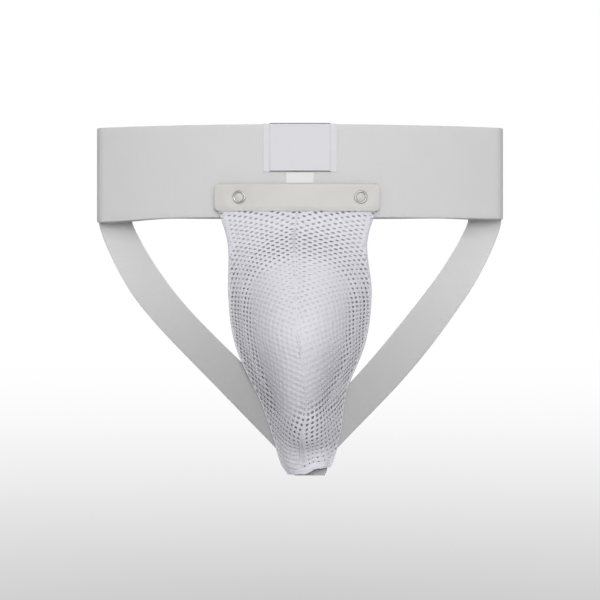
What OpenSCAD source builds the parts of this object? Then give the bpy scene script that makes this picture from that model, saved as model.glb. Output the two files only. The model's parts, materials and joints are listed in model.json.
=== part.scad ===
// Groin protector: an elastic waistband, a snap-fastened mesh pouch, a removable hard cup and two leg
// straps.
// Millimetres. +Z is up, the front faces -Y, and the origin is the middle of the waistband loop.

/* [Waistband] */
// Width of the waistband loop, side to side
belt_w = 345; // [310:1:390]
// Depth of the waistband loop, front to back
belt_d = 94; // [84:1:120]
// Bend radius of the elastic at each side
belt_end_r = 11; // [9:0.5:15]
// Height of the waistband elastic
band_h = 78; // [72:1:92]
// Thickness of the waistband elastic
band_t = 2.2; // [1.4:0.1:2.8]
// Overlap of the elastic's two ends at the back
lap_l = 26; // [16:1:40]

/* [Label and size tag] */
// Width of the woven label
label_w = 61; // [40:1:75]
// Height of the woven label, down from the top edge of the waistband
label_h = 40.5; // [30:0.5:44]
// Thickness of the woven label
label_t = 0.6; // [0.4:0.1:1]
// Width of the size tag under the label
tag_w = 23; // [15:1:36]
// Length of the size tag below the label
tag_h = 9; // [6:0.5:14]
// Thickness of the size tag
tag_t = 0.4; // [0.3:0.1:0.8]

/* [Closure strip and snaps] */
// Width of the folded closure strip
strip_w = 137; // [128:1:156]
// Height of the closure strip
strip_h = 23; // [20:0.5:32]
// Height of the strip's lower edge above the lower edge of the waistband
strip_rise = 5; // [3:0.5:10]
// Thickness of one ply of the strip
strip_ply = 1.1; // [0.8:0.1:1.6]
// Corner radius of the strip
strip_corner_r = 4; // [2:0.5:7]
// Distance between the two snap fasteners
snap_pitch = 99; // [88:1:112]
// Outer diameter of a snap's ring
snap_d = 10.8; // [9.6:0.1:12]
// Inner diameter of a snap's ring
snap_ring_d = 7.2; // [6:0.1:7.6]
// Thickness of a snap's ring
snap_ring_t = 1; // [0.6:0.1:1.4]
// Diameter of the stud's head
stud_d = 4; // [3.4:0.1:4.4]
// Height of the stud's head above its flange
stud_h = 2.1; // [1.8:0.1:2.6]
// Number of prongs on a ring
prong_count = 5; // [4:1:6]
// Diameter of a prong
prong_d = 1; // [0.7:0.1:1.1]

/* [Pouch] */
// Length of the mesh pouch below the strip
pouch_len = 219; // [200:1:235]
// Width of the pouch over the cup
pouch_w = 118; // [110:1:126]
// Depth of the pouch over the cup
pouch_depth = 57; // [48:1:64]
// Thickness of the mesh
mesh_t = 1; // [0.7:0.1:1.4]
// Length of mesh held in the fold of the strip
mesh_tuck = 5; // [4:0.5:7]
// Width of the tape behind the centre seam
seam_tape_w = 8; // [5:0.5:12]
// Thickness of the tapes
tape_t = 0.7; // [0.5:0.1:1]
// Thickness of the lining
lining_t = 1; // [0.7:0.1:1.4]
// Height of lining lapped on the waistband
lining_lap = 6; // [4:0.5:8]
// Width of the tape along each edge of the lining
edge_tape_w = 7; // [5:0.5:9]

/* [Cup] */
// Height of the cup
cup_len = 170; // [155:1:180]
// Distance from the lower edge of the strip to the top of the cup
cup_drop = 20; // [16:0.5:26]
// Room between the side of the cup and the edge of the pouch
cup_side_room = 11; // [9:0.5:14]
// Wall thickness of the cup
cup_wall = 2.6; // [2:0.1:3.4]
// Thickness of the soft pad on the cup's rim
pad_t = 3; // [2:0.1:4]
// Width of the soft pad on the cup's rim
pad_w = 7; // [5:0.5:9]

/* [Leg straps] */
// Width of a leg strap
strap_w = 30; // [24:1:34]
// Thickness of a leg strap
strap_t = 1.6; // [1.2:0.1:2.2]
// Height of strap lapped on the back of the waistband
strap_lap = 32; // [22:1:44]
// Width of the tab that joins the straps at the crotch
crotch_tab_w = 30; // [22:1:34]
// Height of the crotch tab
crotch_tab_h = 34; // [26:1:40]
// Thickness of the crotch tab
crotch_tab_t = 1.2; // [0.8:0.1:1.8]
// Angle from upright at which a strap leaves the waistband
strap_lean = 14; // [5:1:25]
// Angle from upright at which a strap reaches the tip of the pouch
strap_slant = 43; // [36:1:50]

/* [Hidden] */
$fn = 48;

// Clearances: between sewn layers, between layers that curve both ways, round a prong, round the stud
// and between parts that come apart
sewn_gap = 0.2;
form_gap = 0.4;
prong_gap = 0.1;
stud_gap = 0.35;
part_gap = 0.3;
// Distance that a cut runs past the face it starts from
cut_over = 1;

// The loop is four tangent arcs: wide ones front and back, tight ones at the sides
loop_rise = belt_d / 2 - belt_end_r;
loop_x = belt_w / 2 - belt_end_r;
loop_c = (pow(loop_x, 2) - pow(loop_rise, 2)) / (2 * loop_rise);
loop_r = loop_c + belt_d / 2;
loop_angle = asin(loop_x / (loop_r - belt_end_r));
lap_angle = asin(lap_l / 2 / loop_r);
lap_ramp_angle = 4;

// Heights of the edges
band_top = band_h / 2;
band_bottom = -band_h / 2;
strip_bottom = band_bottom + strip_rise;
strip_top = strip_bottom + strip_h;
pouch_tip = strip_bottom - pouch_len;
cup_top = strip_bottom - cup_drop;
cup_bottom = cup_top - cup_len;
// The snaps sit just above the mesh that is tucked into the strip
snap_margin = 1.2;
snap_z = strip_bottom + mesh_tuck + snap_margin + snap_d / 2;

// Stack of the snap, outwards from the face of the waistband
snap_flange_t = 0.6;
snap_lift = snap_flange_t + stud_h + sewn_gap;
socket_step = 0.9;
socket_d = snap_d - socket_step;
prong_ring_r = (snap_d + snap_ring_d) / 4;
slot_t = mesh_t + 2 * sewn_gap;
strip_t = 2 * strip_ply + slot_t;

// The rim plane is where the pouch closes round the back of the cup
mesh_lift = snap_lift + strip_ply + sewn_gap;
rim_y = -belt_d / 2 - mesh_lift;
cup_gap = mesh_t + form_gap + tape_t + part_gap;

// Shares of the pouch's length, half width and depth that shape its outline and its profile
pouch_outline_shares = [[0, 1.1], [0.12, 0.975], [0.32, 1], [0.5, 0.91], [0.7, 0.61], [0.84, 0.48],
                        [0.95, 0.36], [1, 0.25]];
pouch_profile_shares = [[0, 0.02], [0.06, 0.045], [0.1, 0.13], [0.22, 0.51], [0.36, 0.86], [0.5, 1],
                        [0.66, 0.94], [0.8, 0.72], [0.92, 0.4], [1, 0.15]];
// Powers that shape the pouch's sections: boxy at the strip, and over the cup a dome with sloping flanks
section_power = 2.4;
strip_fullness = 0.15;
dome_fullness = 1.4;
dome_share = 0.15;

// Smooth curve through [place, value] stations
function slope(s, i) =
    let(a = max(i - 1, 0), b = min(i + 1, len(s) - 1))
    (s[b][1] - s[a][1]) / (s[b][0] - s[a][0]);
function span(s, t, i = 0) = i >= len(s) - 2 || t < s[i + 1][0] ? i : span(s, t, i + 1);
function along(s, t) =
    let(u = min(max(t, s[0][0]), s[len(s) - 1][0]), i = span(s, u),
        w = s[i + 1][0] - s[i][0], k = (u - s[i][0]) / w)
    (2 * pow(k, 3) - 3 * pow(k, 2) + 1) * s[i][1] + (pow(k, 3) - 2 * pow(k, 2) + k) * w * slope(s, i)
    + (3 * pow(k, 2) - 2 * pow(k, 3)) * s[i + 1][1] + (pow(k, 3) - pow(k, 2)) * w * slope(s, i + 1);
function ease(t) = let(u = min(max(t, 0), 1)) u * u * (3 - 2 * u);
function mix(a, b, t) = a + (b - a) * t;

// Front of the waistband, or of a layer that stands off it
function front_y(x, off) = loop_c - sqrt(pow(loop_r + off, 2) - x * x);

// Half width, depth and fullness of the pouch at a height
function pouch_share(z) = (strip_bottom - z) / pouch_len;
function pouch_half_w(z) = pouch_w / 2 * along(pouch_outline_shares, pouch_share(z));
function pouch_deep(z) = max(mesh_t, pouch_depth * along(pouch_profile_shares, pouch_share(z)));
function fullness(z) = mix(strip_fullness, dome_fullness, ease(pouch_share(z) / dome_share));
// Share of the depth at a share of the half width
function section(u, z) = pow(max(1 - pow(abs(u), section_power), 0), fullness(z));
// The pouch's edge follows the waistband at the strip and eases to the flat rim plane below it
edge_ease_l = 50;
function edge_y(x, z) = mix(front_y(x, mesh_lift), rim_y, ease((strip_bottom - z) / edge_ease_l));
// A point of the mesh at a height: turn runs from the centre seam, 0, to the edge, 90
function mesh_point(z, turn, depth_in, side) =
    let(a = pouch_half_w(z) - depth_in, b = pouch_deep(z) - depth_in,
        x = sewn_gap / 2 + (a - sewn_gap / 2) * sin(turn))
    [side * x, edge_y(x, z) - b * section(sin(turn), z), z];

// Faces of a grid of points, two triangles a cell
function cell_faces(a, b, c, d) = [[a, b, c], [a, c, d]];
function grid_faces(rows, cols, start, turned) =
    [for (i = [0 : rows - 2], j = [0 : cols - 2])
        let(a = start + i * cols + j, b = a + 1, c = b + cols, d = a + cols)
        each (turned ? cell_faces(a, d, c, b) : cell_faces(a, b, c, d))];
function border(rows, cols) =
    concat([for (j = [0 : cols - 1]) j], [for (i = [1 : rows - 1]) i * cols + cols - 1],
           [for (j = [cols - 2 : -1 : 0]) (rows - 1) * cols + j], [for (i = [rows - 2 : -1 : 1]) i * cols]);
function flat(grid) = [for (row = grid) each row];

// Closed solid between two grids of points that face each other
module slab(outer, inner, turned = false) {
    rows = len(outer);
    cols = len(outer[0]);
    n = rows * cols;
    edge = border(rows, cols);
    m = len(edge);
    walls = [for (k = [0 : m - 1])
        let(a = edge[k], b = edge[(k + 1) % m])
        each (turned ? cell_faces(a, b, b + n, a + n) : cell_faces(b, a, a + n, b + n))];
    faces = concat(grid_faces(rows, cols, 0, turned), grid_faces(rows, cols, n, !turned), walls);
    polyhedron(concat(flat(outer), flat(inner)), faces, convexity = 6);
}

// Closed solid between two dishes made of rings round a middle point, each [middle, rings]
module dish(outer, inner) {
    rings = len(outer[1]);
    cols = len(outer[1][0]);
    n = 1 + rings * cols;
    function at(i, j) = 1 + i * cols + j % cols;
    caps = [for (j = [0 : cols - 1])
        each [[0, at(0, j), at(0, j + 1)], [n, n + at(0, j + 1), n + at(0, j)]]];
    bands = [for (i = [0 : rings - 2], j = [0 : cols - 1])
        let(a = at(i, j), b = at(i + 1, j), c = at(i + 1, j + 1), d = at(i, j + 1))
        each concat(cell_faces(a, b, c, d), cell_faces(n + d, n + c, n + b, n + a))];
    rim = [for (j = [0 : cols - 1])
        let(a = at(rings - 1, j), b = at(rings - 1, j + 1))
        each cell_faces(b, a, n + a, n + b)];
    polyhedron(concat([outer[0]], flat(outer[1]), [inner[0]], flat(inner[1])),
               concat(caps, bands, rim), convexity = 6);
}

// Plate bent to the front of the waistband, standing off its face
module front_plate(w, z_low, z_high, off, t) {
    turn = 2 * asin(w / 2 / (loop_r + off));
    translate([0, loop_c, 0])
        rotate([0, 0, -90 - turn / 2])
            rotate_extrude(angle = turn, $fn = 180)
                translate([loop_r + off, z_low])
                    square([t, z_high - z_low]);
}

// Places children at both snaps, with +Z out of the face of the waistband
module at_snaps() {
    for (side = [-1, 1])
        translate([0, loop_c, snap_z])
            rotate([0, 0, side * asin(snap_pitch / 2 / loop_r)])
                translate([0, -loop_r, 0])
                    rotate([90, 0, 0])
                        children();
}

// Ring of prongs, or of the holes that they pass through
module prongs(d, z_low, z_high) {
    for (k = [0 : prong_count - 1])
        rotate([0, 0, 90 + k * 360 / prong_count])
            translate([prong_ring_r, 0, z_low])
                cylinder(d = d, h = z_high - z_low, $fn = 24);
}

// Stations of the waistband from its inner end round to its lapped outer end: [centre, radius, angle, lift]
function arc_stations(centre, r, from, to, steps) =
    [for (k = [0 : steps]) [centre, r, mix(from, to, k / steps), 0]];
function lap_lift(angle) =
    (band_t + sewn_gap) * ease((angle - 90 + lap_angle + lap_ramp_angle) / lap_ramp_angle);
lapped_side = arc_stations([0, -loop_c], loop_r, 90 - loop_angle, 90 + lap_angle, 28);
waist_stations = concat(
    arc_stations([0, -loop_c], loop_r, 90 - lap_angle, 90 + loop_angle, 14),
    arc_stations([-loop_x, 0], belt_end_r, 90 + loop_angle, 270 - loop_angle, 12),
    arc_stations([0, loop_c], loop_r, 270 - loop_angle, 270 + loop_angle, 24),
    arc_stations([loop_x, 0], belt_end_r, 270 + loop_angle, 450 - loop_angle, 12),
    [for (s = lapped_side) [s[0], s[1], s[2], lap_lift(s[2])]]);
function waist_point(s, off) = s[0] + (s[1] + s[3] + off) * [cos(s[2]), sin(s[2])];

module waistband() {
    n = len(waist_stations);
    outline = concat([for (s = waist_stations) waist_point(s, 0)],
                     [for (k = [n - 1 : -1 : 0]) waist_point(waist_stations[k], -band_t)]);
    color("gainsboro")
        difference() {
            translate([0, 0, band_bottom])
                linear_extrude(band_h)
                    polygon(outline);
            at_snaps()
                prongs(prong_d + 2 * prong_gap, -2 * band_t, band_t);
        }
}

module front_label() {
    color("white")
        front_plate(label_w, band_top - label_h, band_top, sewn_gap, label_t);
}

module size_tag() {
    tag_top = band_top - label_h - sewn_gap;
    color("whitesmoke")
        front_plate(tag_w, tag_top - tag_h, tag_top, sewn_gap, tag_t);
}

// Outline of the strip seen from the front, with round corners
function round_corner(x, z, from) =
    [for (k = [0 : 6]) [x, z] + strip_corner_r * [cos(from + 15 * k), sin(from + 15 * k)]];
module strip_face() {
    x = strip_w / 2 - strip_corner_r;
    low = strip_bottom + strip_corner_r;
    high = strip_top - strip_corner_r;
    polygon(concat(round_corner(x, high, 0), round_corner(-x, high, 90), round_corner(-x, low, 180),
                   round_corner(x, low, 270)));
}

// The strip is folded over the mesh: two plies with a slot between them, closed along the top
module closure_strip() {
    back = loop_r + snap_lift;
    slot_back = back + strip_ply;
    slot_front = slot_back + slot_t;
    front = back + strip_t;
    turn = 2 * asin((strip_w / 2 + cut_over) / back);
    fold = strip_top - strip_ply;
    color("ivory")
        difference() {
            translate([0, loop_c, 0])
                rotate([0, 0, -90 - turn / 2])
                    rotate_extrude(angle = turn, $fn = 180)
                        polygon([[back, strip_bottom], [slot_back, strip_bottom], [slot_back, fold],
                                 [slot_front, fold], [slot_front, strip_bottom], [front, strip_bottom],
                                 [front, strip_top], [back, strip_top]]);
            rotate([90, 0, 0])
                linear_extrude(belt_d)
                    difference() {
                        translate([-strip_w, strip_bottom - strip_h])
                            square([2 * strip_w, 3 * strip_h]);
                        strip_face();
                    }
            at_snaps()
                prongs(prong_d + 2 * prong_gap, snap_lift - cut_over, snap_lift + strip_t + cut_over);
        }
}

// A snap's ring: a rounded band of metal
module snap_ring(z_low) {
    w = (snap_d - snap_ring_d) / 2;
    wall = 0.4 * snap_ring_t;
    crown = snap_ring_t - wall;
    translate([0, 0, z_low])
        rotate_extrude($fn = 64)
            translate([snap_ring_d / 2, 0])
                polygon(concat([[0, 0], [w, 0]],
                               [for (a = [0 : 15 : 180]) [w / 2 + w / 2 * cos(a), wall + crown * sin(a)]]));
}

module snap_ring_caps() {
    front = snap_lift + strip_t + sewn_gap / 2;
    color("silver")
        at_snaps() {
            snap_ring(front);
            prongs(prong_d, snap_lift, front + snap_ring_t / 4);
        }
}

module snap_sockets() {
    low = snap_flange_t + sewn_gap;
    high = snap_lift - sewn_gap / 2;
    color("silver")
        at_snaps()
            difference() {
                union() {
                    translate([0, 0, low])
                        cylinder(d = socket_d, h = high - low, $fn = 64);
                    translate([0, 0, high - snap_flange_t])
                        cylinder(d = snap_d, h = snap_flange_t, $fn = 64);
                }
                translate([0, 0, low - cut_over])
                    cylinder(d = stud_d + 2 * stud_gap, h = high - low + 2 * cut_over, $fn = 64);
            }
}

module snap_studs() {
    head_r = stud_d / 2;
    undercut = 0.35;
    head_round = 0.5;
    neck_r = head_r - undercut;
    head_z = snap_flange_t + stud_h;
    head_low = head_z - 2 * head_round;
    color("silver")
        at_snaps()
            rotate_extrude($fn = 64)
                polygon([[0, 0], [snap_d / 2, 0], [snap_d / 2, snap_flange_t], [neck_r, snap_flange_t],
                         [neck_r, head_low - undercut], [head_r, head_low], [head_r, head_z - head_round],
                         [head_r - head_round, head_z], [0, head_z]]);
}

module snap_post_rings() {
    color("silver")
        at_snaps()
            mirror([0, 0, 1]) {
                snap_ring(band_t + sewn_gap);
                prongs(prong_d, 0, band_t + sewn_gap + snap_ring_t / 4);
            }
}

// Heights of the rows of the mesh, from the fold of the strip to the tip
mesh_steps = 24;
mesh_rows = concat([strip_bottom + mesh_tuck],
                   [for (k = [0 : mesh_steps]) mix(strip_bottom, pouch_tip, k / mesh_steps)]);
mesh_turns = [for (k = [0 : 12]) 90 * k / 12];

module mesh_panel(side) {
    outer = [for (z = mesh_rows) [for (turn = mesh_turns) mesh_point(z, turn, 0, side)]];
    inner = [for (z = mesh_rows) [for (turn = mesh_turns) mesh_point(z, turn, mesh_t, side)]];
    color("white")
        slab(outer, inner, side < 0);
}

module mesh_panel_left() {
    mesh_panel(-1);
}

module mesh_panel_right() {
    mesh_panel(1);
}

// A point behind the mesh, close to the centre seam
function seam_point(x, z, depth_in) =
    let(a = pouch_half_w(z) - depth_in)
    [x, edge_y(x, z) - (pouch_deep(z) - depth_in) * section(x / a, z), z];

module centre_seam_tape() {
    near = mesh_t + form_gap;
    rows = [for (k = [2 : mesh_steps]) mesh_rows[k]];
    across = [for (k = [0 : 4]) seam_tape_w * (k / 4 - 0.5)];
    color("white")
        slab([for (z = rows) [for (x = across) seam_point(x, z, near)]],
             [for (z = rows) [for (x = across) seam_point(x, z, near + tape_t)]]);
}

// Outline of the cup, by an angle from its top, drawn in by a distance; the powers square off its ends
// and its shoulder
cup_square = 6;
cup_shoulder = 10;
function cup_z(angle) = mix(cup_top, cup_bottom, (1 - cos(angle)) / 2);
function cup_edge(angle) =
    let(z = cup_z(angle), end = sqrt(max(1 - pow(abs(cos(angle)), cup_square), 0)))
    [sign(sin(angle)) * (pouch_half_w(z) - cup_side_room) * end, z];
function drawn_in(angle, d) =
    let(t = cup_edge(angle + 1) - cup_edge(angle - 1), n = [t[1], -t[0]] / norm(t))
    cup_edge(angle) + d * n;
cup_middle_share = 0.45;
cup_middle = [0, mix(cup_top, cup_bottom, cup_middle_share)];
cup_angles = [for (k = [0 : 47]) 3.75 + k * 7.5];
dome_shares = [for (k = [1 : 11]) sin(90 * k / 11)];

// Depth of the cup's outer face in front of the rim plane: share runs from its middle, 0, to its edge, 1
function mesh_depth(x, z) = pouch_deep(z) * section(x / pouch_half_w(z), z);
function cup_depth(p, share) =
    pad_t + (mesh_depth(p[0], p[1]) - cup_gap - pad_t) * sqrt(max(1 - pow(share, cup_shoulder), 0));
cup_top_depth = cup_depth(cup_middle, 0);

function cup_outer(angle, share) =
    let(p = mix(cup_middle, cup_edge(angle), share))
    [p[0], rim_y - cup_depth(p, share), p[1]];
function cup_inner(angle, share, wall) =
    let(edge = drawn_in(angle, wall), p = mix(cup_middle, edge, share),
        deep = cup_depth(mix(cup_middle, cup_edge(angle), share), share),
        keep = 1 - wall / (cup_top_depth - pad_t))
    [p[0], rim_y - pad_t - (deep - pad_t) * keep, p[1]];

module cup_shell() {
    outer = [for (s = dome_shares) [for (a = cup_angles) cup_outer(a, s)]];
    inner = [for (s = dome_shares) [for (a = cup_angles) cup_inner(a, s, cup_wall)]];
    color("snow")
        dish([cup_outer(0, 0), outer], [cup_inner(0, 0, cup_wall), inner]);
}

module cup_rim_pad() {
    color("darkgray")
        translate([0, rim_y, 0])
            rotate([90, 0, 0])
                linear_extrude(pad_t - sewn_gap / 2)
                    difference() {
                        polygon([for (a = cup_angles) cup_edge(a)]);
                        polygon([for (a = cup_angles) drawn_in(a, pad_w)]);
                    }
}

// Lining: a flat flange behind the mesh's edge and a dish that hangs inside the cup
lining_top = band_bottom + lining_lap;
lining_margin = 1;
lining_bottom = pouch_tip + lining_margin;
lining_slack_share = 0.85;
lining_square = 5;
lining_ease_drop = 1;
lining_ease_l = 12;
lining_ease_top = band_bottom - lining_ease_drop;
lining_top_turn = 40;
lining_tip_turn = 172;
// Edge of the lining by the same angle as the cup's: across the top, down a side and across the tip
function lining_edge(angle) =
    let(side = angle > 180 ? -1 : 1, turn = angle > 180 ? 360 - angle : angle,
        down = (turn - lining_top_turn) / (lining_tip_turn - lining_top_turn),
        z = mix(lining_top, lining_bottom, min(max(down, 0), 1)),
        share = min(turn / lining_top_turn, (180 - turn) / (180 - lining_tip_turn), 1))
    [side * (pouch_half_w(z) - lining_margin) * share, z];
// The flange eases from the face of the waistband to the edge of the mesh
function lining_y(p) =
    mix(front_y(p[0], sewn_gap + lining_t), edge_y(p[0], p[1]) + part_gap,
        ease((lining_ease_top - p[1]) / lining_ease_l));
function lining_dish(angle, share, inset) =
    let(p = mix(cup_middle, drawn_in(angle, pad_w + 2 * form_gap + inset), share),
        room = max(cup_depth(p, 0) - cup_wall - part_gap - inset - form_gap, 0),
        deep = room * lining_slack_share * pow(max(1 - pow(share, lining_square), 0), 0.6))
    [p[0], rim_y + part_gap - deep + (share == 1 ? inset : 0), p[1]];
function lining_flange(angle, share, inset) =
    let(p = mix(drawn_in(angle, pad_w + 2 * form_gap + inset), lining_edge(angle), share))
    [p[0], lining_y(p) + inset, p[1]];

module pouch_lining() {
    shares = [for (k = [1 : 6]) sin(90 * k / 6)];
    angles = [for (k = [0 : 59]) 3 + 6 * k];
    function dish_rings(inset) = [for (s = shares) [for (a = angles) lining_dish(a, s, inset)]];
    function flange_rings(inset) = [for (k = [1 : 4]) [for (a = angles) lining_flange(a, k / 4, inset)]];
    function face(inset) = concat(dish_rings(inset), flange_rings(inset));
    color("white")
        dish([lining_dish(0, 0, 0), face(0)], [lining_dish(0, 0, lining_t), face(lining_t)]);
}

// Tape sewn along an edge of the lining, on its back, below the stretch where the flange eases
module edge_tape(side) {
    tape_start = lining_ease_top - 2 * lining_ease_l;
    tape_end = strap_foot_z + 2 * strap_w;
    rows = [for (k = [0 : 20]) mix(tape_start, tape_end, k / 20)];
    near = form_gap;
    far = form_gap + tape_t;
    function tape_point(z, inset, out) =
        let(x = pouch_half_w(z) - lining_margin - form_gap - inset)
        [side * x, lining_y([x, z]) + lining_t + out, z];
    color("white")
        slab([for (z = rows) [tape_point(z, edge_tape_w, far), tape_point(z, 0, far)]],
             [for (z = rows) [tape_point(z, edge_tape_w, near), tape_point(z, 0, near)]], side > 0);
}

module edge_tape_left() {
    edge_tape(-1);
}

module edge_tape_right() {
    edge_tape(1);
}

// Outer face of the waistband by its length from the side towards the back, on the left
side_arc_l = belt_end_r * (90 - loop_angle) * PI / 180;
function side_point(l, off) =
    let(turn = l / belt_end_r * 180 / PI, back = loop_angle - (l - side_arc_l) / loop_r * 180 / PI)
    l < side_arc_l ? [-loop_x - (belt_end_r + off) * cos(turn), (belt_end_r + off) * sin(turn)]
                   : [-(loop_r + off) * sin(back), -loop_c + (loop_r + off) * cos(back)];

// Centre line of the left strap below the waistband: a curve from the side to the tip of the pouch
strap_start = 6.5;
strap_head = side_point(strap_start + strap_w / 2, sewn_gap + strap_t / 2);
strap_foot_y = rim_y + part_gap + lining_t + sewn_gap + strap_t / 2;
strap_tip_trim = 4;
strap_foot_z = pouch_tip - strap_tip_trim + strap_w / 2 / sin(strap_slant);
strap_from = [strap_head[0], band_bottom];
strap_to = [0, strap_foot_z];
strap_span = norm(strap_to - strap_from);
strap_head_pull = 0.24;
strap_foot_pull = 0.39;
strap_curve = [strap_from,
               strap_from + strap_head_pull * strap_span * [sin(strap_lean), -cos(strap_lean)],
               strap_to + strap_foot_pull * strap_span * [-sin(strap_slant), cos(strap_slant)],
               strap_to];
// Shares of its length at which a strap lies flat on the pouch and has eased out of the waistband's bend
strap_flat_share = 0.84;
strap_bend_share = 0.3;
strap_overrun = strap_w;
function bezier(p, t) =
    pow(1 - t, 3) * p[0] + 3 * t * pow(1 - t, 2) * p[1] + 3 * t * t * (1 - t) * p[2] + pow(t, 3) * p[3];
function bezier_way(p, t) =
    let(d = pow(1 - t, 2) * (p[1] - p[0]) + 2 * t * (1 - t) * (p[2] - p[1]) + t * t * (p[3] - p[2]))
    d / norm(d);
function strap_line(t) =
    let(u = min(t, 1), p = bezier(strap_curve, u) + (t - u) * strap_overrun * bezier_way(strap_curve, 1))
    [p[0], mix(strap_head[1], strap_foot_y, ease(t / strap_flat_share)), p[1]];
// A point of the strap: below the waistband it eases from the bent band to a flat ribbon
function strap_point(t, across, out) =
    let(way = bezier_way(strap_curve, min(t, 1)), c = strap_line(t), v = (across - 0.5) * strap_w,
        ribbon = [c[0] - way[1] * v, c[1] + out, c[2] + way[0] * v],
        bent = side_point(strap_start + across * strap_w, sewn_gap + strap_t / 2 + out),
        head = [bent[0], bent[1], band_bottom - max(t, 0) * strap_lap])
    mix(head, ribbon, ease(t / strap_bend_share));
strap_across = [for (k = [0 : 10]) k / 10];
function lap_point(t, across, out) =
    let(p = side_point(strap_start + across * strap_w, sewn_gap + strap_t / 2 + out))
    [p[0], p[1], band_bottom - t * strap_lap];
function strap_row(t, out) =
    [for (v = strap_across) t < 0 ? lap_point(t, v, out) : strap_point(t, v, out)];

module leg_strap_left() {
    steps = concat([-1, -0.5], [for (k = [0 : 26]) k / 20]);
    color("lightgray")
        intersection() {
            slab([for (t = steps) strap_row(t, strap_t / 2)],
                 [for (t = steps) strap_row(t, -strap_t / 2)], true);
            translate([-belt_w - part_gap / 2, -belt_d, pouch_tip + part_gap])
                cube([belt_w, 2 * belt_d, pouch_len + band_h]);
        }
}

module leg_strap_right() {
    mirror([1, 0, 0])
        leg_strap_left();
}

module crotch_tab() {
    low = pouch_tip + 3 * lining_margin;
    middle = low + crotch_tab_h / 2;
    high = low + crotch_tab_h;
    back = strap_foot_y + strap_t / 2 + sewn_gap;
    half = [[crotch_tab_w / 3, low], [crotch_tab_w / 2, middle], [crotch_tab_w / 4, high]];
    color("gainsboro")
        translate([0, back + crotch_tab_t, 0])
            rotate([90, 0, 0])
                linear_extrude(crotch_tab_t)
                    polygon(concat(half, [for (k = [2 : -1 : 0]) [-half[k][0], half[k][1]]]));
}

waistband();
front_label();
size_tag();
closure_strip();
snap_ring_caps();
snap_sockets();
snap_studs();
snap_post_rings();
mesh_panel_left();
mesh_panel_right();
centre_seam_tape();
pouch_lining();
edge_tape_left();
edge_tape_right();
cup_shell();
cup_rim_pad();
leg_strap_left();
leg_strap_right();
crotch_tab();
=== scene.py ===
"""Groin protector: the looks of every piece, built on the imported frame.

Each piece is modelled in metres where the frame has it. Ribbons are flat grids that are laid on their path
and thickened, the mesh is one cell repeated over a lattice that is draped on the pouch, and the moulded
pieces are copies of the frame's solids that are remeshed and smoothed.
"""

import json
import math

import bpy
import numpy as np
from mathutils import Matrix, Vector
from mathutils.bvhtree import BVHTree


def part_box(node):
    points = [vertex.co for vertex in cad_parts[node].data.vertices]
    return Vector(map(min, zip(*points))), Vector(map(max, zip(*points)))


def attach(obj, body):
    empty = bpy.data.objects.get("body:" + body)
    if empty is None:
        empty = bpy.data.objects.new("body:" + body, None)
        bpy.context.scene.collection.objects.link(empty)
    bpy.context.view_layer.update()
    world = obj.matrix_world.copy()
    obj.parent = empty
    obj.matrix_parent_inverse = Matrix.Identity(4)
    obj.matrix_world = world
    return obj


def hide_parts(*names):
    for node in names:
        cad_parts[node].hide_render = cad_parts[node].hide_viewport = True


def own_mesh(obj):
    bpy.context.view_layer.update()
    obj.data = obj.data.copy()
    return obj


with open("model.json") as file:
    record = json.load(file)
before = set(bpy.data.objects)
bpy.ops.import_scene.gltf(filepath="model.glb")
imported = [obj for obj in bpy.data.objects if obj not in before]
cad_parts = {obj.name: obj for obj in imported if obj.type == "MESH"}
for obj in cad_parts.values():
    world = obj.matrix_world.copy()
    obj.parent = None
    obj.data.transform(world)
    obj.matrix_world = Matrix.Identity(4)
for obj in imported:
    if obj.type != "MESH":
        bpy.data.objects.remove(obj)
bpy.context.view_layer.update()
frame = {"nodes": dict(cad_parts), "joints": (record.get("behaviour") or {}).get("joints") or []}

bl_info = {
    "name": "Groin Protector",
    "version": (1, 0, 0),
    "blender": (4, 5, 0),
    "location": "View3D > Sidebar > Guard",
    "description": "Models the pieces, finishes and stage of a groin protector",
    "category": "Add Mesh",
}

MM = 0.001
NODES = frame["nodes"]
BAND_LOW, BAND_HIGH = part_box("waistband")
LABEL_LOW, LABEL_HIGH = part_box("front_label")
TAG_LOW, TAG_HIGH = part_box("size_tag")
STRIP_LOW, STRIP_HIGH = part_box("closure_strip")
RING_LOW, RING_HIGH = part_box("snap_ring_caps")
CUP_LOW, CUP_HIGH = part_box("cup_shell")
TAB_LOW, TAB_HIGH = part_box("crotch_tab")
HINGE = next(Vector(joint["pos_m"]) for joint in frame["joints"] if joint["name"] == "flap_open")
TIP = HINGE.z
# A place well behind the pouch, from where its outer and inner faces are told apart
BEHIND_Y = HINGE.y + 60 * MM
BELT, FLAP, CUP = "belt", "flap", "cup"
SIDES = ((1, "right"), (-1, "left"))


def length(name, description, default):
    """A size in metres."""
    return bpy.props.FloatProperty(
        name=name, description=description, default=default, unit="LENGTH", precision=5)


def share(name, description, default):
    """A share from 0 to 1."""
    return bpy.props.FloatProperty(
        name=name, description=description, default=default, min=0.0, max=1.0, subtype="FACTOR")


def colour(name, description, default):
    """A colour of a finish, in linear values."""
    return bpy.props.FloatVectorProperty(
        name=name, description=description, default=default, size=3, min=0.0, max=1.0, subtype="COLOR")


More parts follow.
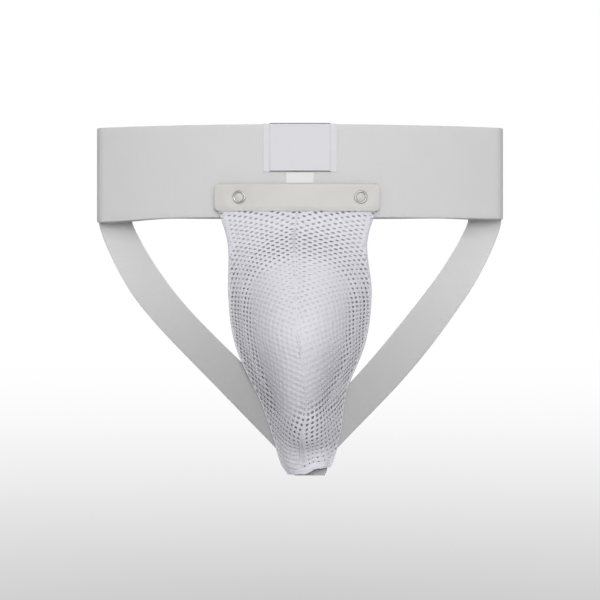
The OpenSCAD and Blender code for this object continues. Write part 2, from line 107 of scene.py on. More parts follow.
class GuardSizes(bpy.types.PropertyGroup):
    """Sizes of the guard's soft pieces."""

    side_bend: length("Side bend", "Bend radius of the waistband at each side", 11 * MM)
    band_t: length("Band thickness", "Thickness of the waistband elastic", 2.2 * MM)
    band_lap: length("Band lap", "Overlap of the elastic's two ends at the back", 26 * MM)
    band_drop: length("Band drop", "Height that the waistband loses when it is stretched", 0.8 * MM)
    band_sag: length("Band sag", "Sag of the waistband's lower edge at its left end", 2.6 * MM)
    back_rise: length("Back rise", "Height by which the waistband's back sits over its front", 1.9 * MM)
    rib_pitch: length("Rib pitch", "Distance between the cross ribs of the elastic", 1.3 * MM)
    cord_pitch: length("Cord pitch", "Distance between the lengthwise cords of the elastic", 2.6 * MM)
    sewn_gap: length("Sewn gap", "Gap between sewn layers", 0.2 * MM)
    stitch: length("Stitch", "Length of one stitch", 2.4 * MM)
    stitch_over: length("Stitch height", "Height of a stitch's middle over the cloth", 0.1 * MM)
    thread: length("Thread", "Thickness of the sewing thread", 0.45 * MM)
    label_t: length("Label thickness", "Thickness of the woven label", 0.5 * MM)
    label_margin: length("Label margin", "Width of the folded margin at each side of the label", 5.5 * MM)
    label_lift: length("Label lift", "Height of the label's middle over its margins", 0.55 * MM)
    tag_t: length("Tag thickness", "Thickness of the size tag", 0.35 * MM)
    strip_ply: length("Strip ply", "Thickness of one ply of the closure strip", 1.1 * MM)
    strip_corner: length("Strip corner", "Corner radius of the closure strip", 4 * MM)
    strip_trim: length("Strip trim", "Amount by which each end of the strip is trimmed", 0.8 * MM)
    snap_pitch: length("Snap pitch", "Distance between the two snaps", 99 * MM)
    snap_ring: length("Snap ring", "Inner radius of a snap's ring", 3.6 * MM)
    cell: length("Mesh cell", "Side of one cell of the mesh", 4.7 * MM)
    hole: share("Mesh hole", "Radius of a hole as a share of its cell", 0.33)
    mesh_t: length("Mesh thickness", "Thickness of the mesh", 0.8 * MM)
    mesh_relief: length("Mesh relief", "Height of the yarns over the lips of the holes", 0.3 * MM)
    edge_w: length("Pouch edge", "Width of the rolled edge at each side of the pouch", 1.1 * MM)
    seam_w: length("Seam width", "Width of the two welts of the centre seam", 3.4 * MM)
    seam_h: length("Seam height", "Height of the welts of the centre seam", 0.8 * MM)
    seam_wander: length("Seam wander", "Sideways wander of the centre seam over the cup", 7.5 * MM)
    tape_w: length("Tape width", "Half width of the tape behind the centre seam", 4 * MM)
    tape_t: length("Tape thickness", "Thickness of the tape behind the centre seam", 0.35 * MM)
    tip_fold: length("Tip fold", "Depth of the folds at the left of the pouch's tip", 0.4 * MM)
    tip_sway: length("Tip sway", "Sideways drape of the pouch's tip", 5.4 * MM)
    top_sway: length("Top sway", "Sideways drape of the strip and the pouch's top, the other way", 2.4 * MM)
    lining_t: length("Lining thickness", "Thickness of the lining", 0.8 * MM)
    strap_w: length("Strap width", "Width of a leg strap", 30 * MM)
    strap_t: length("Strap thickness", "Thickness of a leg strap", 1.6 * MM)
    strap_lap: length("Strap lap", "Height of strap sewn on the back of the waistband", 32 * MM)


class GuardColours(bpy.types.PropertyGroup):
    """Colours of the guard's finishes."""

    elastic: colour("Elastic", "Waistband elastic", (0.62, 0.62, 0.62))
    strap: colour("Strap", "Leg strap elastic", (0.665, 0.665, 0.665))
    label: colour("Label", "Woven label", (0.65, 0.645, 0.68))
    # Dark edge yarn of the label: a painted shadow line under the label's loose top and foot
    label_shadow_edge: colour("Label edge", "Edge yarn of the label", (0.15, 0.15, 0.16))
    tag: colour("Tag", "Size tag", (0.745, 0.745, 0.74))
    vinyl: colour("Vinyl", "Closure strip", (0.565, 0.555, 0.535))
    mesh: colour("Mesh", "Pouch mesh", (0.675, 0.67, 0.715))
    lining: colour("Lining", "Lining knit", (0.9, 0.9, 0.92))
    tape: colour("Tape", "Binding tapes and thread", (0.68, 0.68, 0.69))
    plastic: colour("Plastic", "Cup", (0.62, 0.62, 0.64))
    rubber: colour("Rubber", "Rim pad of the cup", (0.52, 0.52, 0.53))
    nickel: colour("Nickel", "Snap fasteners", (0.33, 0.32, 0.30))
    floor: colour("Floor", "Pale floor under the guard", (0.5, 0.5, 0.51))


def sizes():
    return bpy.context.scene.guard_sizes


def colours():
    return bpy.context.scene.guard_colours


# Soft steps and mixes


def ease(t):
    """Smooth step from 0 to 1."""
    t = np.clip(t, 0.0, 1.0)
    return t * t * (3 - 2 * t)


def rising(value, start, span):
    """Smooth step that rises to 1 over a span above its start."""
    return ease((value - start) / span)


def falling(value, start, span):
    """Smooth step that rises to 1 over a span below its start."""
    return ease((start - value) / span)


def between(value, low, low_span, high, high_span):
    """1 between two values, with a smooth step inside each end."""
    return rising(value, low, low_span) * falling(value, high, high_span)


def mix(a, b, t):
    return a + (b - a) * t


def read_table(table, row, column):
    """Values of a table between its rows and columns, one array for each value that it holds."""
    row = np.clip(row, 0, table.shape[0] - 1.001)
    column = np.clip(column, 0, table.shape[1] - 1.001)
    i, j = row.astype(int), column.astype(int)
    down, along = (row - i)[..., None], (column - j)[..., None]
    near = mix(table[i, j], table[i, j + 1], along)
    far = mix(table[i + 1, j], table[i + 1, j + 1], along)
    return np.moveaxis(mix(near, far, down), -1, 0)


# How the pouch and the straps hang


def sideways(z):
    """How far the pouch hangs to one side at a height: its tip to the right and its top to the left."""
    tip = falling(z, TIP + 88 * MM, 62 * MM)
    top = rising(z, STRIP_LOW.z - 73 * MM, 60 * MM)
    return sizes().tip_sway * tip - sizes().top_sway * top


def sway(points):
    """The pouch and everything sewn to it, moved sideways as it hangs."""
    points = np.array(points, float)
    points[..., 0] += sideways(points[..., 2])
    return points


def strap_sway(points):
    """The straps follow the pouch's tip to its side, from higher up."""
    points = np.array(points, float)
    points[..., 0] += sizes().tip_sway * falling(points[..., 2], TIP + 153 * MM, 85 * MM)
    return points


def tip_lift(share_out):
    """How far the pouch's lower edge is drawn up, from the left edge at -1 to the right edge at 1."""
    left, right = 1.6 * MM, 7.5 * MM
    return mix(left, right, rising(share_out, 0.05, 0.6))


# Small tools for modelling


def only(piece):
    """Leaves one object selected and active."""
    bpy.ops.object.select_all(action="DESELECT")
    piece.select_set(True)
    bpy.context.view_layer.objects.active = piece
    return piece


def modify(piece, kind, **settings):
    """Adds a modifier to a piece and applies it."""
    only(piece)
    modifier = piece.modifiers.new(kind.lower(), kind)
    for name, value in settings.items():
        setattr(modifier, name, value)
    bpy.ops.object.modifier_apply(modifier=modifier.name)
    return piece


def repeat(piece, count, way):
    """Repeats a piece in a row, each copy one step further on."""
    return modify(piece, "ARRAY", count=count, use_relative_offset=False, use_constant_offset=True,
                  constant_offset_displace=way)


def in_edit_mode(piece, *steps):
    """Runs mesh operators, each an operator and its settings, on all of a piece."""
    only(piece)
    bpy.ops.object.mode_set(mode="EDIT")
    for operator, settings in steps:
        bpy.ops.mesh.select_all(action="SELECT")
        operator(**settings)
    bpy.ops.object.mode_set(mode="OBJECT")
    return piece


def outwards(piece):
    """Merges doubles and turns every face outwards."""
    return in_edit_mode(
        piece,
        (bpy.ops.mesh.remove_doubles, {"threshold": 0.01 * MM}),
        (bpy.ops.mesh.normals_make_consistent, {"inside": False}))


def smooth(piece, degrees=40):
    """Shades a piece smooth but for its edges that are sharper than an angle."""
    only(piece)
    bpy.ops.object.shade_smooth_by_angle(angle=math.radians(degrees))
    return piece


def points_of(piece):
    """The points of a piece as rows of an array."""
    flat = np.empty(len(piece.data.vertices) * 3, np.float32)
    piece.data.vertices.foreach_get("co", flat)
    return flat.reshape(-1, 3).astype(float)


def move_points(piece, points):
    """Puts the points of a piece in new places."""
    piece.data.vertices.foreach_set("co", np.asarray(points, np.float32).ravel())
    piece.data.update()
    return piece


def ribbon(name, along, across, size, place):
    """A flat grid with its own size as UVs, laid point by point: place takes shares along and across."""
    bpy.ops.object.select_all(action="DESELECT")
    bpy.ops.mesh.primitive_grid_add(x_subdivisions=along, y_subdivisions=across, size=1, calc_uvs=True)
    piece = bpy.context.object
    piece.name = piece.data.name = name
    chart = piece.data.uv_layers.active.data
    uv = np.empty(len(chart) * 2, np.float32)
    chart.foreach_get("uv", uv)
    chart.foreach_set("uv", (uv.reshape(-1, 2) * np.array(size, np.float32)).ravel())
    flat = points_of(piece)[:, :2] + 0.5
    return move_points(piece, [place(u, v) for u, v in flat])


def round_edges(piece, width, segments, degrees=55):
    """Rounds the edges of a piece that are sharper than an angle."""
    return modify(piece, "BEVEL", width=width, segments=segments, limit_method="ANGLE",
                  angle_limit=math.radians(degrees), use_clamp_overlap=True)


def thicken(piece, t, edge=0.0, offset=0.0, segments=3, even=True):
    """Gives a sheet its thickness and rounds its edges."""
    modify(piece, "SOLIDIFY", thickness=t, offset=offset, use_even_offset=even, use_rim=True)
    if edge:
        round_edges(piece, edge, segments)
    return outwards(piece)


def cloth(name, along, across, size, place, t, edge=0.0, segments=3, degrees=40):
    """A ribbon with its thickness and rounded edges, shaded smooth."""
    return smooth(thicken(ribbon(name, along, across, size, place), t, edge, segments=segments), degrees)


def cad_copy(node, name):
    """A copy of a CAD node's mesh as a new object, with its doubles merged."""
    piece = bpy.data.objects.new(name, NODES[node].data.copy())
    piece.data.name = name
    piece.data.materials.clear()
    bpy.context.scene.collection.objects.link(piece)
    return in_edit_mode(piece, (bpy.ops.mesh.remove_doubles, {"threshold": 0.005 * MM}))


def keep_faces(piece, wanted):
    """Deletes the faces of a piece that a test doesn't want."""
    only(piece)
    bpy.ops.object.mode_set(mode="EDIT")
    bpy.ops.mesh.select_mode(type="FACE")
    bpy.ops.mesh.select_all(action="DESELECT")
    bpy.ops.object.mode_set(mode="OBJECT")
    for face in piece.data.polygons:
        face.select = not wanted(face)
    bpy.ops.object.mode_set(mode="EDIT")
    bpy.ops.mesh.delete(type="FACE")
    bpy.ops.object.mode_set(mode="OBJECT")
    return piece


def dress(piece, body, slot, finish, *nodes):
    """Gives a finished piece its finish and its place in the frame."""
    piece.data.materials.clear()
    piece.data.materials.append(finish)
    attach(piece, body)
    if nodes:
        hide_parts(*nodes)
    return piece


def path(points):
    """A curve along a line of points."""
    bpy.ops.object.select_all(action="DESELECT")
    bpy.ops.curve.primitive_nurbs_path_add()
    line = bpy.context.object
    line.data.splines.clear()
    spline = line.data.splines.new("POLY")
    spline.points.add(len(points) - 1)
    spline.points.foreach_set("co", np.c_[points, np.ones(len(points))].ravel())
    return line


def joined(pieces, name):
    """Like pieces as one object."""
    first = only(pieces[0])
    for piece in pieces[1:]:
        piece.select_set(True)
    if len(pieces) > 1:
        bpy.ops.object.join()
    first.name = first.data.name = name
    return first


def tube(name, lines, radius):
    """Round yarns along lines of points, as one mesh piece."""
    made = []
    for line in lines:
        yarn = path(np.asarray(line, float))
        yarn.data.bevel_depth = radius
        yarn.data.bevel_resolution = 2
        yarn.data.use_fill_caps = True
        bpy.ops.object.convert(target="MESH")
        made.append(bpy.context.object)
    return smooth(outwards(joined(made, name)), degrees=60)


def stitches(name, rows, body, finish):
    """Rows of stitches: one stitch is modelled, repeated along each row and laid on its line of points."""
    pitch, thick = sizes().stitch, sizes().thread
    shown = 0.82 * pitch
    made = []
    for row in rows:
        row = np.asarray(row, float)
        run = np.linalg.norm(np.diff(row, axis=0), axis=1).sum()
        line = path(row)
        bpy.ops.object.select_all(action="DESELECT")
        bpy.ops.mesh.primitive_uv_sphere_add(segments=6, ring_count=5, radius=0.5)
        piece = bpy.context.object
        on_its_side = {"value": math.pi / 2, "orient_axis": "Y", "center_override": (0, 0, 0)}
        in_edit_mode(
            piece,
            (bpy.ops.transform.rotate, on_its_side),
            (bpy.ops.transform.resize, {"value": (shown, thick, thick)}),
            (bpy.ops.transform.translate, {"value": (pitch / 2, 0, 0)}))
        repeat(piece, max(int(run / pitch), 1), (pitch, 0, 0))
        modify(piece, "CURVE", object=line, deform_axis="POS_X")
        bpy.data.objects.remove(line)
        made.append(piece)
    return dress(smooth(joined(made, name), degrees=80), body, "binding_tape", finish)


# Forms that the pieces follow: the waistband's plan, the mesh and the straps


class Loop:
    """Plan of the waistband: four tangent arcs, wide ones front and back and tight ones at the sides."""

    def __init__(self):
        half_w, half_d = BAND_HIGH.x, -BAND_LOW.y
        self.bend = sizes().side_bend
        rise = half_d - self.bend
        self.x = half_w - self.bend
        self.c = (self.x ** 2 - rise ** 2) / (2 * rise)
        self.r = self.c + half_d
        self.angle = math.asin(self.x / (self.r - self.bend))
        lap = sizes().band_lap / 2 / self.r
        half, turn = math.pi / 2, self.angle
        self.arcs = [
            ((0, -self.c), self.r, half - lap, half + turn),
            ((-self.x, 0), self.bend, half + turn, 3 * half - turn),
            ((0, self.c), self.r, 3 * half - turn, 3 * half + turn),
            ((self.x, 0), self.bend, 3 * half + turn, 5 * half - turn),
            ((0, -self.c), self.r, half - turn, half + lap)]
        self.length = sum(r * (end - start) for _, r, start, end in self.arcs)

    def at(self, s, off):
        """Point at a length along the band, off its outer face."""
        for arc in self.arcs:
            centre, r, start, end = arc
            reach = r * (end - start)
            if s <= reach or arc is self.arcs[-1]:
                angle = start + s / r
                return centre[0] + (r + off) * math.cos(angle), centre[1] + (r + off) * math.sin(angle)
            s -= reach

    def front(self, s, off):
        """Point of the front face at a length across from its middle."""
        turn = s / self.r
        return (self.r + off) * math.sin(turn), self.c - (self.r + off) * math.cos(turn)

    def side(self, s, off):
        """Point of the left side by its length from the side towards the back."""
        arc = self.bend * (math.pi / 2 - self.angle)
        if s < arc:
            turn = s / self.bend
            return -self.x - (self.bend + off) * math.cos(turn), (self.bend + off) * math.sin(turn)
        back = self.angle - (s - arc) / self.r
        return -(self.r + off) * math.sin(back), -self.c + (self.r + off) * math.cos(back)


class Skin:
    """Outer face of the right mesh panel: rows of the frame's own points, smoothed between them."""

    fine = (130, 50)
    reach, most = 9 * MM, 2.4 * MM
    slack, neck_draw = 0.15 * MM, 5 * MM
    stray_back = 0.47

    def __init__(self):
        axis = Vector((0, BEHIND_Y, 0))
        facing = 1 * MM
        mesh = NODES["mesh_panel_right"].data
        rows = {}
        for face in mesh.polygons:
            way = face.center - axis
            if way.x * face.normal.x + way.y * face.normal.y > facing:
                for k in face.vertices:
                    p = mesh.vertices[k].co
                    rows.setdefault(round(p.z, 5), set()).add((round(p.x, 6), round(p.y, 6)))
        self.heights = np.array(sorted(rows))
        self.tip, self.top = self.heights[0], self.heights[-1]
        self.grid = np.array([sorted(rows[z]) for z in self.heights])
        self.last = self.grid.shape[1] - 1
        self.grid[:, 0, 0] = 0.0
        self.held = self.contact()

    def contact(self):
        """Room to the cup, hold on it and draw at the neck, on a table of heights and columns."""
        cup = NODES["cup_shell"].data
        dome = BVHTree.FromPolygons([v.co for v in cup.vertices], [f.vertices for f in cup.polygons])
        z, c = np.meshgrid(np.linspace(self.tip, self.top, self.fine[0]),
                           np.linspace(0, self.last, self.fine[1]), indexing="ij")
        points, normals = self.at(z, c), self.normals(z, c)
        tape = ease(2 - points[..., 0] / sizes().tape_w)
        layers = sizes().mesh_t + self.slack + sizes().tape_t * tape
        room = np.zeros_like(z)
        for spot in np.ndindex(z.shape):
            hit = dome.ray_cast(Vector(points[spot]), -Vector(normals[spot]), self.reach)
            room[spot] = (hit[3] or self.reach) - layers[spot]
        across = points[..., 0] / points[:, -1:, 0]
        crown = falling(z, CUP_HIGH.z - 15 * MM - 32 * MM * across ** 2, 9 * MM)
        foot = rising(z, CUP_LOW.z + 12 * MM, 20 * MM)
        sides = falling(across, 0.84, 0.18)
        neck = between(z, TIP - 4 * MM, 16 * MM, TIP + 34 * MM, 18 * MM) * falling(across, 0.8, 0.5)
        return np.stack([room, crown * foot * sides, self.neck_draw * neck], -1)

    def drawn(self, z, c, side):
        """Points of the skin where the mesh lies, drawn in on the cup, and their normals."""
        high, wide = self.fine
        row = (z - self.tip) / (self.top - self.tip) * (high - 1)
        room, hold, neck = read_table(self.held, row, c / self.last * (wide - 1))
        n = self.normals(z, c)
        room = room + side * sideways(z) * n[..., 0]
        depth = np.minimum(hold * np.clip(room, 0, self.most) + neck, room)
        return self.at(z, c) - n * depth[..., None], n

    def wander(self, z):
        """How far the centre seam strays sideways at a height."""
        out = between(z, TIP + 30 * MM, 34 * MM, TIP + 124 * MM, 40 * MM)
        return sizes().seam_wander * (out - self.stray_back * falling(z, self.top, 30 * MM))

    def columns_per_metre(self, z):
        """Columns to one metre across the seam, at a height."""
        edge = self.at(z, np.full_like(z, self.last))[..., 0]
        return self.last / (math.pi / 2 * edge)

    def laid(self, z, column):
        """Points where the mesh lies, by height and by column (under 0 on the left), and their normals."""
        z, column = np.asarray(z, float), np.asarray(column, float)
        spread = (1 - np.clip(column / self.last, -1, 1) ** 2) ** 2
        column = column + self.wander(z) * self.columns_per_metre(z) * spread
        side = np.where(column < 0, -1.0, 1.0)
        points, n = self.drawn(z, np.minimum(np.abs(column), self.last), side)
        points[..., 0] *= side
        n[..., 0] *= side
        return points, n

    def over(self, z, x, out):
        """A point over the mesh as it hangs, by its height, its way from the seam and its distance out."""
        z = np.array([z])
        (point,), (n,) = self.laid(z, x * self.columns_per_metre(z))
        return sway(point + n * out)

    def flat(self):
        """Width, length and area of the panel, laid out flat."""
        z, c = np.linspace(self.tip, self.top, 200), np.linspace(0, self.last, 60)
        rows = self.at(*np.meshgrid(z, c, indexing="ij"))
        across = np.linalg.norm(np.diff(rows, axis=1), axis=2).sum(1)
        down = np.linalg.norm(np.diff(rows, axis=0), axis=2)
        return float(across.max()), float(down.sum(0).max()), float((across[1:] * down.mean(1)).sum())

    def weights(self, t, count):
        """The four neighbours of a place in a row of stations, and how much each counts on a smooth curve."""
        t = np.clip(t, 0, count - 1.000001)
        i = t.astype(int)
        f = t - i
        near = [np.clip(i + k, 0, count - 1) for k in (-1, 0, 1, 2)]
        much = [(-f + 2 * f ** 2 - f ** 3) / 2, (2 - 5 * f ** 2 + 3 * f ** 3) / 2,
                (f + 4 * f ** 2 - 3 * f ** 3) / 2, (f ** 3 - f ** 2) / 2]
        return list(zip(near, much))

    def at(self, z, c):
        """Points at heights z and columns c, which run from the centre seam to the edge."""
        z, c = np.asarray(z, float), np.asarray(c, float)
        row = np.interp(z, self.heights, np.arange(len(self.heights)))
        flat = sum((wr * wc)[..., None] * self.grid[r, k]
                   for r, wr in self.weights(row, len(self.heights))
                   for k, wc in self.weights(c, self.last + 1))
        return np.concatenate([flat, np.clip(z, self.tip, self.top)[..., None]], -1)

    def slopes(self, z, c):
        """How a point moves with its height and with its column."""
        h, k, least = 0.5 * MM, 0.02, 1e-9
        top, foot = np.minimum(z + h, self.top), np.maximum(z - h, self.tip)
        right, left = np.minimum(c + k, self.last), np.maximum(c - k, 0)
        by_z = (self.at(top, c) - self.at(foot, c)) / np.maximum(top - foot, least)[..., None]
        by_c = (self.at(z, right) - self.at(z, left)) / np.maximum(right - left, least)[..., None]
        return by_z, by_c

    def normals(self, z, c):
        """Ways out of the skin, each of length 1."""
        inset = 0.05
        by_z, by_c = self.slopes(z, np.clip(c, inset, self.last - inset))
        n = np.cross(by_c, by_z)
        return n / np.linalg.norm(n, axis=-1, keepdims=True)


class Drape:
    """Lattice of the mesh on one panel: lines that rise from the centre seam to the edge."""

    step, reach, spare = 0.5 * MM, 130 * MM, 16 * MM
    rise = 0.36
    bow_top, bow_foot = 2.6, -1.0
    lean_top, lean_foot = 0.95, 0.09

    def __init__(self, skin):
        z = np.linspace(skin.top, skin.tip, 500)
        seam = skin.at(z, np.zeros_like(z))
        run = np.concatenate([[0], np.cumsum(np.linalg.norm(np.diff(seam, axis=0), axis=1))])
        self.run = run[-1]
        s = np.arange(0, self.run + self.spare, self.step)
        t = s / self.run
        bow = mix(self.bow_top, self.bow_foot, rising(t, 0.35, 0.4))
        self.shift = np.cumsum(mix(self.lean_top, self.lean_foot, rising(t, 0.25, 0.3))) * self.step
        heights = np.interp(s, run, z) - np.maximum(s - self.run, 0)
        columns = np.zeros_like(s)
        places = []
        for k in range(int(self.reach / self.step)):
            places.append(np.stack([heights, columns], -1))
            by_z, by_c = skin.slopes(np.clip(heights, skin.tip, skin.top), np.minimum(columns, skin.last))
            dz = (self.rise - 2 * bow * k * self.step) * self.step
            moved = np.where((heights > skin.tip) & (heights < skin.top), dz, 0.0)
            # The columns move so far that each step has the same length on the skin: a root of a quadratic
            a = (by_c ** 2).sum(-1)
            b = (by_c * by_z).sum(-1) * moved
            rest = (by_z ** 2).sum(-1) * moved ** 2 - self.step ** 2
            columns = columns + (-b + np.sqrt(np.maximum(b * b - a * rest, 0))) / np.maximum(a, 1e-9)
            heights = heights + dz
        self.table = np.stack(places, 1)

    def find(self, s, a):
        """Height and column of lattice points, by their line and their length along it."""
        return read_table(self.table, s / self.step, a / self.step)

    def start(self, s):
        """Length by which the cells of a line are shifted along it, so that they lean."""
        return np.interp(s, np.arange(len(self.shift)) * self.step, self.shift)


class Strap:
    """Left leg strap: sewn on the back of the waistband, then a curve to the tip of the pouch."""

    start = 6.5 * MM
    lean, slant = math.radians(14), math.radians(43)
    head_pull, foot_pull = 0.24, 0.39
    flat_share, bend_share = 0.84, 0.3
    tip_trim, hollow = 4 * MM, 0.5 * MM
    cloth_share = 1.35

    def __init__(self):
        size = sizes()
        self.w = size.strap_w
        self.loop = Loop()
        self.off = size.sewn_gap + size.strap_t / 2
        self.head = self.loop.side(self.start + self.w / 2, self.off)
        self.foot_y = TAB_LOW.y - size.sewn_gap - size.strap_t / 2
        foot_z = TIP - self.tip_trim + self.w / 2 / math.sin(self.slant)
        first, last = np.array((self.head[0], BAND_LOW.z)), np.array((0.0, foot_z))
        span = np.linalg.norm(last - first)
        self.curve = [first,
                      first + self.head_pull * span * np.array((math.sin(self.lean), -math.cos(self.lean))),
                      last + self.foot_pull * span * np.array((-math.sin(self.slant), math.cos(self.slant))),
                      last]
        self.lap = size.strap_lap
        self.length = self.lap + self.cloth_share * span

    def way(self, t):
        """Direction of the strap's middle line, seen from the front."""
        p = self.curve
        d = (1 - t) ** 2 * (p[1] - p[0]) + 2 * t * (1 - t) * (p[2] - p[1]) + t * t * (p[3] - p[2])
        return d / np.linalg.norm(d)

    def line(self, t):
        """Point of the strap's middle line, which runs straight on past its end at 1."""
        u, p = min(t, 1.0), self.curve
        flat = ((1 - u) ** 3 * p[0] + 3 * u * (1 - u) ** 2 * p[1] + 3 * u * u * (1 - u) * p[2] + u ** 3 * p[3]
                + (t - u) * self.w * self.way(1.0))
        return flat[0], mix(self.head[1], self.foot_y, ease(t / self.flat_share)), flat[1]

    def at(self, t, v, out=0.0):
        """A point of the strap: t is under 0 on the waistband and 1 at the tip, v runs across it."""
        head = np.array((*self.loop.side(self.start + v * self.w, self.off + out), BAND_LOW.z - t * self.lap))
        if t < 0:
            return head
        way, middle, across = self.way(min(t, 1.0)), self.line(t), (v - 0.5) * self.w
        hollow = self.hollow * math.sin(math.pi * v) * ease(4 * t * (1 - t))
        flat = np.array((-way[1] * across, out - hollow, way[0] * across)) + middle
        return mix(head, flat, ease(t / self.bend_share))


# Finishes


class Value:
    """A socket of a finish. Arithmetic on it adds Math nodes."""

    def __init__(self, finish, socket):
        self.finish = finish
        self.socket = socket

    def math(self, operation, *values):
        return self.finish.node("ShaderNodeMath", {"operation": operation}, values)

    def __add__(self, other):
        return self.math("ADD", self, other)

    __radd__ = __add__

    def __sub__(self, other):
        return self.math("SUBTRACT", self, other)

    def __rsub__(self, other):
        return self.math("SUBTRACT", other, self)

    def __mul__(self, other):
        return self.math("MULTIPLY", self, other)

    __rmul__ = __mul__

    def __truediv__(self, other):
        return self.math("DIVIDE", self, other)

    def __pow__(self, other):
        return self.math("POWER", self, other)

    def __rpow__(self, other):
        return self.math("POWER", other, self)

    def wave(self):
        """A ridge from 0 to 1 and back for each whole step of the value."""
        return 0.5 + 0.5 * self.math("COSINE", self * (2 * math.pi))

    def step(self, low, high):
        """Smooth step between two values."""
        return self.finish.node(
            "ShaderNodeMapRange", {"interpolation_type": "SMOOTHSTEP"}, (self, low, high, 0.0, 1.0))


class Finish:
    """A material and the few kinds of node that its look needs."""

    def __init__(self, name, kind="materials"):
        self.material = getattr(bpy.data, kind).new(name)
        self.material.use_nodes = True
        self.tree = self.material.node_tree
        self.shader = self.tree.nodes.get("Principled BSDF")

    def seen(self):
        """1 for what the camera sees by itself, in metal or through glass."""
        rays = [self.node("ShaderNodeLightPath", output=f"Is {ray} Ray")
                for ray in ("Camera", "Glossy", "Transmission")]
        return rays[0] + rays[1] + rays[2]

    def put(self, socket, value):
        """Links a value to a socket, or sets the socket to a number or a colour."""
        if isinstance(value, Value):
            self.tree.links.new(value.socket, socket)
        else:
            socket.default_value = value

    def node(self, kind, settings=None, inputs=(), output=0):
        """Adds a node: its settings first, then the values or links of its sockets, by place or by name."""
        node = self.tree.nodes.new(kind)
        for name, value in (settings or {}).items():
            setattr(node, name, value)
        pairs = inputs.items() if isinstance(inputs, dict) else enumerate(inputs)
        for key, value in pairs:
            self.put(node.inputs[key], value)
        return Value(self, node.outputs[output])

    def split(self, vector):
        """The three parts of a vector."""
        return [self.node("ShaderNodeSeparateXYZ", inputs=(vector,), output=k) for k in range(3)]

    def place(self):
        """Object coordinates of a surface."""
        return self.node("ShaderNodeTexCoord", output="Object")

    def ribbon(self):
        """Lengths along and across a ribbon, in metres."""
        return self.split(self.node("ShaderNodeUVMap", {"uv_map": "UVMap"}))[:2]

    def noise(self, pitch, detail=2.0):
        """Noise from 0 to 1 with blots of about one size, in metres."""
        return self.node(
            "ShaderNodeTexNoise", {}, {"Vector": self.place(), "Scale": 1 / pitch, "Detail": detail})

    def blend(self, factor, a, b):
        """A mix of two colours."""
        tint = [c if isinstance(c, Value) else (*c, 1.0) for c in (a, b)]
        inputs = {0: factor, 6: tint[0], 7: tint[1]}
        return self.node("ShaderNodeMix", {"data_type": "RGBA"}, inputs, output=2)

    def surface(self, base, roughness, height=None, depth=0.0, strength=0.0, **constants):
        """Sets the shader: what varies is linked, and what is even is set on its own socket."""
        self.put(self.shader.inputs["Base Color"], base if isinstance(base, Value) else (*base, 1.0))
        self.put(self.shader.inputs["Roughness"], roughness)
        if height:
            bump = self.node(
                "ShaderNodeBump", {}, {"Strength": strength, "Distance": depth, "Height": height})
            self.put(self.shader.inputs["Normal"], bump)
        for name, value in constants.items():
            self.shader.inputs[name.replace("_", " ").title().replace("Ior", "IOR")].default_value = value
        return self.material

    def output(self, kind, look):
        """Sends a look to the output node of a material or a world."""
        self.put(self.tree.nodes[kind + " Output"].inputs["Surface"], look)


def shade(tint, factor):
    """A darker or paler colour of the same hue."""
    return tuple(factor * c for c in tint)


def woven_elastic(name, tint, shade_span=None, thin=1.0):
    """Ribbed elastic: cross ribs over lengthwise cords, with some fuzz, and painted shade that darkens a
    strap towards its foot, where the pouch shades it.
    """
    finish = Finish(name)
    along, across = finish.ribbon()
    drift = 0.6 * MM * finish.noise(9 * MM)
    ribs = ((along + drift) / sizes().rib_pitch).wave()
    cords = (across / sizes().cord_pitch).wave()
    fuzz = finish.noise(0.35 * MM, 3.0)
    weave = ribs * (0.65 + 0.35 * cords)
    patches = finish.noise(22 * MM, 1.0)
    base = finish.blend(0.2 * (1 - weave) + 0.25 * patches, tint, shade(tint, 0.86))
    # Painted shade: the strap darkens over this span of its length towards its foot, where the pouch shades
    # it
    if shade_span:
        base = finish.blend(along.step(*shade_span), base, shade(tint, thin))
    return finish.surface(
        base, roughness=0.82 + 0.12 * fuzz, height=0.7 * weave + 0.3 * fuzz, depth=0.15 * MM, strength=0.5,
        sheen_weight=0.12, sheen_roughness=0.5)


def woven_satin(name, tint):
    """Satin label weave: fine slanted floats over close picks."""
    finish = Finish(name)
    along, across = finish.ribbon()
    floats = ((along + 0.5 * across) / (0.55 * MM)).wave()
    picks = (across / (0.4 * MM)).wave()
    fuzz = finish.noise(0.5 * MM, 2.0)
    weave = 0.6 * floats + 0.4 * picks
    base = finish.blend(0.3 * weave + 0.2 * fuzz, shade(tint, 0.93), tint)
    return finish.surface(
        base, roughness=0.5 + 0.15 * fuzz, height=weave, depth=0.08 * MM, strength=0.5, sheen_weight=0.2)


def twisted_yarn(name, tint):
    """Edge yarn, whose dark tint paints a shadow line: a coarse twist of paler and darker strands."""
    finish = Finish(name)
    twist = finish.noise(0.6 * MM, 2.0)
    base = finish.blend(twist, tint, shade(tint, 1.5))
    return finish.surface(base, roughness=0.7 + 0.1 * twist, height=twist, depth=0.1 * MM, strength=0.5)


def grained_vinyl(name, tint):
    """Soft vinyl with a fine leather grain."""
    finish = Finish(name)
    grain = 1.1 * MM
    cells = finish.node(
        "ShaderNodeTexVoronoi", {"feature": "DISTANCE_TO_EDGE"},
        {"Vector": finish.place(), "Scale": 1 / grain})
    creases = cells.step(0.0, 0.12)
    pores = finish.noise(0.4 * MM, 3.0)
    clouds = finish.noise(16 * MM, 2.0)
    base = finish.blend(0.45 * clouds + 0.2 * (1 - creases), tint, shade(tint, 0.9))
    return finish.surface(
        base, roughness=0.42 + 0.16 * pores, height=0.6 * creases + 0.4 * pores, depth=0.07 * MM,
        strength=0.45, specular_ior_level=0.45)


